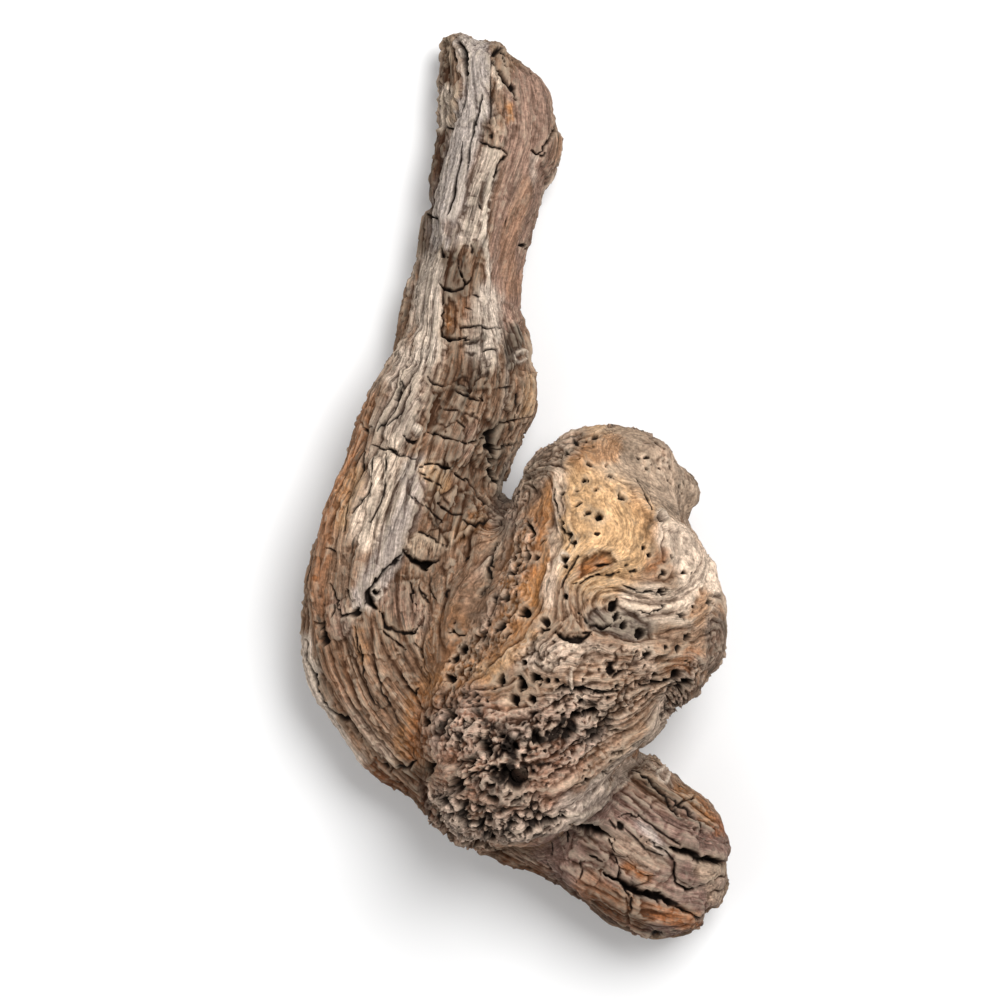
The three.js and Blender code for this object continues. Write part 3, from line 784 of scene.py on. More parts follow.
# Drawn cracks, worm holes and broken edges
# Drying opened splits along and across the grain, and slabs have broken away at some of them.
CRACKS = [  # line in picture points, width and depth in millimetres
    ([(462, 44), (465, 57), (467, 67), (467, 79)], 4.2, 6),
    ([(454, 49), (454, 59), (458, 62)], 0.9, 2),
    ([(491, 53), (503, 70), (509, 85), (514, 92), (516, 100)], 1.8, 4),
    ([(512, 80), (515, 91)], 2.2, 3),
    ([(496, 47), (504, 57), (508, 67)], 1.0, 3),
    ([(532, 151), (537, 155), (543, 154), (545, 145), (551, 135), (558, 126)], 1.3, 3),
    ([(469, 78), (468, 95), (463, 120)], 0.7, 1.2),
    ([(484, 95), (481, 118), (474, 145), (468, 172)], 0.8, 1.5),
    ([(466, 143), (463, 165), (456, 190), (450, 216)], 0.9, 1.8),
    ([(506, 155), (498, 165), (494, 178)], 2.2, 3),
    ([(494, 58), (493, 79), (491, 101), (490, 124)], 0.8, 1.6),
    ([(481, 142), (491, 147), (501, 148), (507, 154)], 1.0, 2.4),
    ([(442, 96), (446, 128), (454, 130)], 0.9, 2),
    ([(428, 214), (438, 221)], 2.2, 3),
    ([(441, 247), (446, 257)], 2.6, 4),
    ([(470, 245), (472, 255)], 2.2, 4),
    ([(458, 260), (460, 274), (466, 282), (470, 278)], 1.0, 3),
    ([(438, 282), (445, 288), (455, 291), (463, 288), (467, 282)], 1.5, 3.5),
    ([(445, 294), (442, 319), (442, 335), (450, 340), (468, 338)], 1.5, 4),
    ([(461, 328), (479, 327), (486, 330), (501, 328)], 0.9, 2.2),
    ([(472, 295), (478, 298)], 0.8, 2),
    ([(466, 308), (473, 312)], 0.8, 2),
    ([(482, 351), (496, 350)], 0.7, 1.5),
    ([(428, 375), (435, 382), (445, 384)], 1.3, 3.2),
    ([(455, 391), (463, 395), (473, 396), (482, 400)], 1.2, 3.2),
    ([(498, 372), (498, 384)], 1.4, 2.5),
    ([(506, 219), (505, 225)], 0.9, 1.5),
    ([(359, 423), (366, 428), (373, 427)], 1.1, 3),
    ([(370, 444), (381, 447), (392, 449), (398, 454), (416, 460)], 1.1, 3.5),
    ([(403, 437), (410, 441), (418, 441)], 2.8, 5),
    ([(441, 409), (458, 411)], 0.7, 1.4),
    ([(455, 420), (464, 426)], 0.7, 1.4),
    ([(426, 430), (442, 436), (458, 440), (473, 443), (487, 441)], 1.3, 3.5),
    ([(421, 465), (433, 464), (452, 471), (473, 484), (482, 493)], 1.3, 3.5),
    ([(421, 473), (433, 479), (444, 488)], 1.0, 2.5),
    ([(412, 495), (427, 508), (442, 522)], 1.0, 2.5),
    ([(438, 502), (453, 514), (462, 513)], 1.2, 3),
    ([(461, 518), (475, 526), (488, 516)], 1.5, 3.5),
    ([(420, 530), (432, 537), (447, 547)], 1.0, 2.5),
    # a crack whose near-black is painted shadow below the raised tongue's broken end
    ([(404, 551), (412, 560), (424, 567), (438, 562)], 4.0, 6),
    ([(501, 422), (494, 432), (492, 446), (494, 460)], 5.0, 6),
    ([(494, 456), (490, 470), (494, 481), (504, 485)], 3.0, 5),
    ([(504, 423), (517, 420), (533, 418)], 1.1, 3),
    ([(516, 394), (515, 420)], 1.0, 2.5),
    ([(499, 388), (511, 386)], 0.8, 1.6),
    ([(496, 450), (516, 447)], 1.0, 2.5),
    ([(481, 493), (491, 507)], 1.3, 3),
    ([(403, 363), (400, 390), (393, 413), (377, 432)], 1.1, 2.2),
    ([(412, 386), (406, 407), (387, 426)], 0.9, 1.8),
    ([(374, 450), (372, 475), (366, 493), (354, 514)], 0.9, 1.8),
    ([(387, 453), (387, 478), (381, 505), (370, 522)], 0.9, 1.8),
    ([(363, 450), (361, 473), (351, 501), (346, 531)], 0.9, 1.8),
    ([(402, 554), (385, 569), (375, 582)], 3.4, 5),
    ([(374, 578), (369, 592), (369, 604), (378, 610)], 4.4, 6),
    ([(381, 629), (390, 638), (404, 649)], 2.8, 5),
    ([(315, 623), (324, 626), (326, 638), (330, 638)], 2.0, 4),
    ([(338, 604), (341, 616), (355, 610), (361, 607)], 1.1, 2.6),
    ([(326, 547), (336, 551)], 0.8, 1.6),
    ([(304, 638), (310, 662), (321, 681), (329, 702), (341, 713), (353, 722), (364, 737),
      (381, 757), (393, 770)], 1.5, 2.6),
    ([(318, 647), (323, 667), (329, 678)], 1.2, 2),
    ([(361, 644), (364, 675), (371, 693), (381, 707)], 0.9, 1.3),
    ([(399, 765), (408, 768), (416, 760)], 2.6, 4),
    ([(380, 612), (386, 627), (397, 633), (412, 633), (419, 624)], 1.3, 2.5),
    ([(409, 582), (411, 592), (416, 608)], 1.2, 2),
    ([(419, 584), (421, 592), (426, 602)], 1.2, 2),
    ([(428, 585), (431, 593), (436, 600)], 1.2, 2),
    ([(330, 584), (337, 600), (334, 618)], 1.1, 2.4),
    ([(345, 588), (353, 603)], 1.0, 2),
    ([(414, 645), (420, 652), (421, 668)], 1.0, 1.8),
    ([(402, 672), (408, 686), (414, 696), (417, 688)], 1.0, 1.8),
    ([(372, 660), (382, 690), (398, 722)], 0.7, 1.2),
    ([(356, 626), (359, 650), (364, 668)], 0.9, 1.6),
    ([(448, 632), (463, 635)], 1.4, 3),
    ([(495, 543), (488, 564), (489, 581), (479, 597)], 1.6, 4),
    ([(555, 491), (556, 504), (561, 518), (563, 528), (568, 538), (574, 548)], 1.1, 2.6),
    ([(636, 480), (642, 496), (651, 511)], 0.9, 1.6),
    ([(560, 589), (569, 569), (579, 554)], 0.9, 2),
    ([(573, 586), (593, 577), (611, 574), (621, 571)], 1.3, 3),
    ([(596, 567), (608, 565)], 1.7, 3),
    ([(619, 584), (639, 591), (662, 592)], 1.0, 1.8),
    ([(637, 611), (652, 612), (664, 608)], 1.0, 2.2),
    ([(579, 612), (588, 624), (603, 626), (613, 622)], 1.6, 3.6),
    ([(526, 518), (535, 533)], 2.2, 4),
    ([(556, 631), (564, 640), (578, 640), (590, 634)], 3.6, 5),
    ([(556, 691), (578, 689), (599, 693), (620, 693)], 3.4, 5),
    ([(519, 815), (536, 820), (555, 815), (566, 811)], 1.9, 4),
    ([(572, 784), (589, 777), (610, 771)], 1.5, 3),
    ([(608, 752), (631, 744), (644, 735)], 1.9, 4),
    ([(642, 687), (658, 685), (673, 680), (679, 674)], 2.0, 4),
    ([(463, 779), (477, 773), (500, 769), (515, 775)], 1.9, 4),
    ([(463, 794), (473, 803), (494, 809)], 1.6, 3),
    ([(566, 820), (579, 826), (596, 831), (614, 838)], 4.2, 6),
    ([(568, 828), (569, 843)], 1.1, 2.6),
    ([(552, 845), (552, 856)], 0.9, 2),
    ([(610, 840), (614, 852), (619, 870), (619, 880)], 1.4, 3.5),
    ([(603, 873), (619, 880), (637, 891), (652, 894), (668, 901), (680, 910), (698, 917),
      (724, 922)], 4.0, 6),
    ([(624, 886), (631, 898), (630, 908)], 1.2, 3),
    ([(582, 859), (580, 877)], 1.0, 2.5),
    ([(591, 856), (602, 861)], 1.5, 2.4),
    ([(587, 898), (596, 907), (603, 912)], 1.1, 2.2),
    ([(672, 847), (690, 853), (712, 861), (748, 865)], 4.2, 6),
    ([(640, 838), (664, 848), (676, 862), (674, 874)], 1.4, 3),
    ([(640, 775), (662, 796), (684, 812), (704, 836)], 1.2, 2.5),
    ([(672, 872), (677, 884), (687, 889), (702, 884), (716, 875)], 1.8, 3),
    ([(638, 814), (659, 831), (680, 845)], 0.9, 1.8),
    ([(623, 826), (645, 849), (663, 856)], 0.9, 1.8),
    ([(659, 793), (673, 810), (680, 817)], 1.3, 3),
    ([(673, 808), (687, 800), (695, 794)], 1.1, 2.6),
    ([(635, 770), (659, 791)], 1.5, 3),
    ([(619, 817), (628, 815), (638, 817)], 1.1, 2.2),
    ([(609, 819), (616, 828)], 0.9, 2),
    ([(549, 865), (561, 872), (572, 880)], 1.1, 2.2),
]
HOLES = [  # picture point, radius and depth in millimetres
    (564, 493, 1.0, 4), (577, 491, 0.9, 3), (598, 487, 0.8, 3), (587, 513, 1.1, 4), (598, 516, 1.6, 6),
    (661, 516, 1.8, 5), (622, 497, 1.4, 3), (585, 479, 1.2, 3), (589, 463, 1.0, 3), (596, 437, 1.2, 3),
    (575, 441, 1.1, 3), (565, 454, 1.2, 3), (611, 477, 1.1, 3), (564, 558, 1.5, 5), (565, 565, 1.1, 4),
    (535, 557, 1.5, 5), (525, 555, 2.0, 5), (563, 524, 1.0, 4), (570, 536, 1.2, 4), (575, 543, 1.0, 3),
    (661, 591, 1.5, 4), (614, 604, 1.9, 6), (618, 616, 1.5, 5), (628, 624, 1.6, 5), (643, 548, 1.0, 3),
    (648, 555, 1.0, 3), (664, 571, 1.2, 3), (684, 572, 1.1, 3), (671, 557, 1.0, 3), (525, 612, 2.4, 5),
    (546, 621, 1.6, 4), (502, 626, 1.5, 4), (510, 572, 1.3, 4), (495, 597, 1.2, 3), (565, 597, 1.1, 4),
    (647, 470, 0.8, 2), (709, 603, 1.3, 4), (683, 616, 1.3, 4), (500, 679, 2.0, 6), (520, 684, 2.2, 6),
    (535, 677, 2.0, 6), (515, 697, 2.2, 6), (532, 698, 1.6, 6), (524, 663, 1.2, 4), (557, 680, 1.4, 4),
    (548, 680, 1.2, 4), (462, 650, 2.2, 5), (450, 712, 2.6, 6), (450, 678, 1.8, 4), (426, 723, 2.2, 5),
    (611, 671, 1.5, 4), (618, 687, 1.6, 4), (645, 632, 2.3, 5), (646, 655, 1.8, 4), (688, 637, 1.5, 4),
    (678, 676, 2.2, 5), (690, 684, 2.4, 5), (684, 692, 1.6, 4),
    (536, 738, 2.0, 5), (500, 736, 1.6, 4), (517, 747, 1.4, 4), (526, 757, 1.3, 4), (480, 746, 2.0, 5),
    (485, 753, 1.8, 5), (517, 780, 3.4, 6), (505, 776, 2.4, 5), (458, 784, 3.0, 6), (431, 769, 2.8, 5),
    (450, 797, 2.2, 5), (453, 831, 1.4, 3), (493, 835, 1.4, 3), (621, 826, 1.4, 3), (656, 936, 2.4, 3),
    (498, 50, 1.6, 3), (491, 136, 0.9, 1.5), (480, 206, 0.8, 1.5),
    (525, 247, 1.0, 2), (377, 593, 1.2, 4), (322, 625, 1.6, 4), (326, 640, 1.8, 4), (356, 612, 1.4, 3),
]
RINGS = [  # picture point, radius and height in millimetres: rims round the holes of old twigs
    (377, 593, 2.1, 2.2),
    (661, 516, 2.1, 0.8),
    (564, 558, 1.9, 0.7),
    (519, 357, 2.0, 1.0),
    (662, 777, 2.6, 0.9),
]
SLABS = [  # outline in picture points, and how far the slab stands up or lies below, in millimetres
    ([(482, 147), (506, 153), (496, 166), (493, 178), (489, 205), (483, 240), (468, 240),
      (460, 222), (468, 195), (476, 170)], 1.3),
    ([(484, 118), (500, 115), (508, 130), (505, 147), (488, 145), (481, 135)], 1.2),
    ([(540, 158), (548, 140), (556, 128), (563, 138), (560, 157), (548, 184)], 1.2),
    ([(412, 426), (419, 424), (421, 434), (413, 437)], 1.8),
    ([(326, 606), (345, 600), (353, 615), (350, 632), (338, 641), (328, 630)], 1.4),
    ([(450, 297), (444, 308), (441, 322), (443, 336), (449, 340), (456, 332), (459, 318),
      (456, 304)], -2.6),
    ([(405, 438), (421, 430), (418, 447), (415, 459), (397, 453)], -2.2),
    ([(434, 390), (488, 388), (492, 425), (488, 470), (484, 512), (448, 546), (425, 500),
      (417, 460), (428, 424)], -1.8),
    ([(420, 530), (447, 547), (438, 561), (424, 566), (411, 559), (407, 545)], 1.6),
    ([(516, 378), (538, 372), (538, 416), (517, 420)], 1.2),
    ([(572, 613), (585, 632), (566, 634), (560, 622)], 2.2),
    ([(580, 578), (581, 560), (596, 551), (612, 553), (618, 561), (602, 570)], -2.6),
    ([(588, 613), (606, 605), (626, 608), (652, 622), (656, 640), (630, 641), (606, 635),
      (590, 627)], -3.0),
    ([(485, 776), (512, 784), (516, 800), (498, 806), (476, 796)], 1.6),
    ([(402, 672), (413, 695), (417, 692), (416, 675)], 1.3),
    ([(628, 898), (652, 896), (680, 912), (698, 919), (684, 932), (656, 940), (630, 930)], 1.4),
    ([(560, 862), (590, 866), (604, 880), (626, 892), (626, 928), (592, 908)], 1.2),
    ([(640, 800), (660, 795), (690, 812), (700, 835), (676, 846), (650, 828)], 0.9),
    ([(441, 40), (455, 42), (460, 75), (446, 128), (438, 128)], -1.8),
    ([(610, 842), (663, 858), (672, 873), (650, 890), (620, 878)], 1.2),
    ([(676, 848), (724, 862), (716, 874), (690, 886), (674, 872)], 1.6),
    ([(560, 836), (606, 843), (612, 872), (590, 862), (566, 858)], 1.0),
    ([(381, 602), (392, 585), (420, 578), (425, 600), (418, 630), (400, 634), (386, 622)], 1.6),
]
LEDGES = [  # broken edge: its right hand side stands up by so much, and falls off in so far
    ([(444, 390), (436, 401), (430, 409), (429, 423), (426, 430), (418, 447), (416, 472),
      (403, 487)], 2.6, 24),
    ([(403, 487), (419, 507), (410, 530), (406, 553), (377, 580), (368, 601)], 2.4, 20),
    ([(488, 516), (473, 530), (450, 547)], 3.4, 30),
    ([(560, 815), (600, 800), (640, 765), (668, 730)], 1.6, 22),
    ([(640, 620), (612, 622), (588, 625), (576, 612)], 1.8, 18),
    ([(732, 864), (712, 861), (690, 853), (672, 848)], 2.2, 22),
    ([(706, 917), (680, 910), (652, 895), (619, 880)], 2.2, 20),
    ([(716, 876), (702, 885), (687, 889), (676, 884), (672, 872)], 1.4, 14),
]
NOTCHES = [  # where a split runs out through the edge: picture point, radius there, depth in millimetres
    (735, 860, 11, 4.5),
    (713, 917, 12, 4.5),
    (693, 939, 9, 2.5),
    (722, 806, 8, 2.0),
    (432, 206, 8, 2.0),
]
POINT = 0.4  # millimetres in a picture point on the wood
FINE_CRACK = 0.95  # narrower cracks follow the fibres and don't jump
FINE_STRAY = 0.6
FINE_WANDER = 1.2
CRACK_LEAST = 0.35  # share of its width that a crack has where it is narrowest
CRACK_SWING = 0.75  # share that it gains from there to where it is widest
CRACK_HALF = 0.46  # a crack's half width for each millimetre of its width
CRACK_TIP = 0.04  # share of a crack's length at either end that isn't narrowed further
CRACK_TAPER = 0.6
CRACK_FLOOR = 0.3  # share of a crack's half width that is at its full depth
CRACK_DARK = 0.5  # and that is fully dark with painted shade
CRACK_BEVEL = 0.8  # picture points past its half width at which its walls end
CRACK_SHADE_EDGE = 0.9  # and at which its painted shade ends
MARK_MARGIN = 14  # picture points round a crack, hole or ring within which it acts
HOLE_WALL = (0.75, 1.15)  # shares of its radius between which a hole's wall slopes
# shares of its radius between which the painted shade inside a hole fades out
HOLE_SHADE_EDGE = (0.8, 1.25)
RIM_WIDTH = 0.6
SLAB_MARGIN = 6
SLAB_EDGE = 1.2
LEDGE_MARGIN = 1.5  # share of its reach within which a ledge acts
LEDGE_EDGE = 0.8
LEDGE_FALL = (0.3, 1.4)  # shares of its reach between which a ledge falls off
fine_picture = picture + FINE_STRAY * stray + FINE_WANDER * wander

# the painted shade inside cracks, holes and splits
cracked = np.zeros(len(places))
crack_width = CRACK_LEAST + CRACK_SWING * smooth_step(blotches(4.5, 44), -0.6, 0.5)
for line, width, depth in CRACKS:
    where = fine_picture if width < FINE_CRACK else ragged_picture
    some = near(line, MARK_MARGIN, where)
    gap, share, _ = line_gap(line, where[some])
    taper = np.sin(np.pi * np.clip(share, CRACK_TIP, 1 - CRACK_TIP)) ** CRACK_TAPER
    half = CRACK_HALF * width / POINT * taper * crack_width[some]
    opening = 1 - smooth_step(gap, CRACK_FLOOR * half, half + CRACK_BEVEL)
    relief[some] -= depth * opening * crack_width[some]
    cracked[some] = np.maximum(cracked[some], 1 - smooth_step(gap, CRACK_DARK * half, half + CRACK_SHADE_EDGE))
for x, y, radius, depth in HOLES:
    some = near([(x, y)], MARK_MARGIN, ragged_picture)
    gap = np.linalg.norm(ragged_picture[some] - (x, y), axis=1) * POINT / radius
    relief[some] -= depth * (1 - smooth_step(gap, *HOLE_WALL))
    cracked[some] = np.maximum(cracked[some], 1 - smooth_step(gap, *HOLE_SHADE_EDGE))
rimmed = np.zeros(len(places))
for x, y, radius, height in RINGS:
    some = near([(x, y)], MARK_MARGIN, picture)
    gap = np.linalg.norm(picture[some] + stray[some] - (x, y), axis=1) * POINT
    rim = np.exp(-((gap - radius) / RIM_WIDTH) ** 2)
    relief[some] += height * rim
    cracked[some] *= 1 - rim
    rimmed[some] = np.maximum(rimmed[some], rim)
for outline, height in SLABS:
    some = near(outline, SLAB_MARGIN, ragged_picture)
    relief[some] += height * smooth_step(outline_gap(outline, ragged_picture[some]), -SLAB_EDGE, SLAB_EDGE)
for x, y, radius, depth in NOTCHES:
    gap = np.linalg.norm(picture + STRAY * stray - (x, y), axis=1)
    relief -= depth * (1 - smooth_step(gap, 0, radius)) * (1 - outward[:, 2] ** 2)
for line, height, reach in LEDGES:
    some = near(line, LEDGE_MARGIN * reach, ragged_picture)
    gap, share, side = line_gap(line, ragged_picture[some])
    stands = smooth_step(gap * side, -LEDGE_EDGE, LEDGE_EDGE) * (1 - smooth_step(gap / reach, *LEDGE_FALL))
    relief[some] += height * stands * smooth_step(np.minimum(share, 1 - share), 0, RUN_OUT)

# Splits and cross checks on the sides that the camera doesn't see
SPLIT_DEPTH = 3.4
CHECK_DEPTH = 1.2
CHECK_NARROW = 0.05
CHECK_DARK = 0.6
hidden = (1 - seen) * (1 - burl)
split = grooves(130, 21, 0.05, 40) * smooth_step(blotches(37, 41), 0.05, 0.4)
check = np.exp(-(swings(limb_grain(9, 26), 42) / CHECK_NARROW) ** 2)
check *= smooth_step(blotches(17, 43), 0.25, 0.5)
check *= 1 - smooth_step(split, 0.05, 0.4)
relief -= hidden * (SPLIT_DEPTH * split + CHECK_DEPTH * check)
# painted shade inside the hidden splits and, fainter, the cross checks
cracked = np.maximum(cracked, hidden * np.maximum(split, CHECK_DARK * check))

# The finished relief: the worn spots that the wood lies on keep their place, and marks are shallow there
REST_HEIGHT = (0.3, 4.0)  # height above the table at which the relief starts and is full
REST_MARKS = 0.3  # share of a groove's depth that is left on the worn spots
SURROUNDINGS = 12 if SUBDIVISIONS == 2 else 4  # rings of neighbours that a point is compared with
CREST_HEIGHT = 0.45  # above its surroundings, where wood is bleached and has a painted highlight in full
GROOVE_DEPTH = 0.65  # below them, where it is brown and darkened by painted shade in full
GAP_DARK = 0.95  # how dark the painted shade in pits and in the gaps between lumps and blocks is
# how dark the painted shade in end splits and at the scales' broken edges is
END_SPLIT_DARK = 0.8
SCALE_EDGE_DARK = 0.6
resting = smooth_step(places[:, 2], *REST_HEIGHT)
relief *= np.where(relief > 0, resting, REST_MARKS + (1 - REST_MARKS) * resting)
places = places + outward * relief[:, None]
places[:, 2] = np.maximum(places[:, 2], 0)
write_places(places)

local = relief.copy()
for _ in range(SURROUNDINGS):
    local = mean(local)
crest = np.clip((relief - local) / CREST_HEIGHT, 0, 1)
groove = np.clip((local - relief) / GROOVE_DEPTH, 0, 1)
# the painted shade in cracks, holes, pits, gaps, end splits and at the scales' broken edges
gaps = np.max([pitted, gapped, blocked], axis=0)
dark_marks = [cracked, GAP_DARK * gaps, END_SPLIT_DARK * end_split, SCALE_EDGE_DARK * scale_edge]
hollow_shade = np.clip(np.max(dark_marks, axis=0), 0, 1)

# Colours of the wood
# Sun has bleached what stands up to silver and cream, with a painted highlight there too; worn wood shows
# tan, ochre and orange, and what lies low keeps the brown of the old wood, darkened further by painted
# shade, down to a painted near-black shade in the splits.


def paint(red, green, blue):
    """A colour given as on a screen, from 0 to 255, as the light that it reflects."""
    share = np.array([red, green, blue]) / 255
    return np.where(share < 0.04045, share / 12.92, ((share + 0.055) / 1.055) ** 2.4)


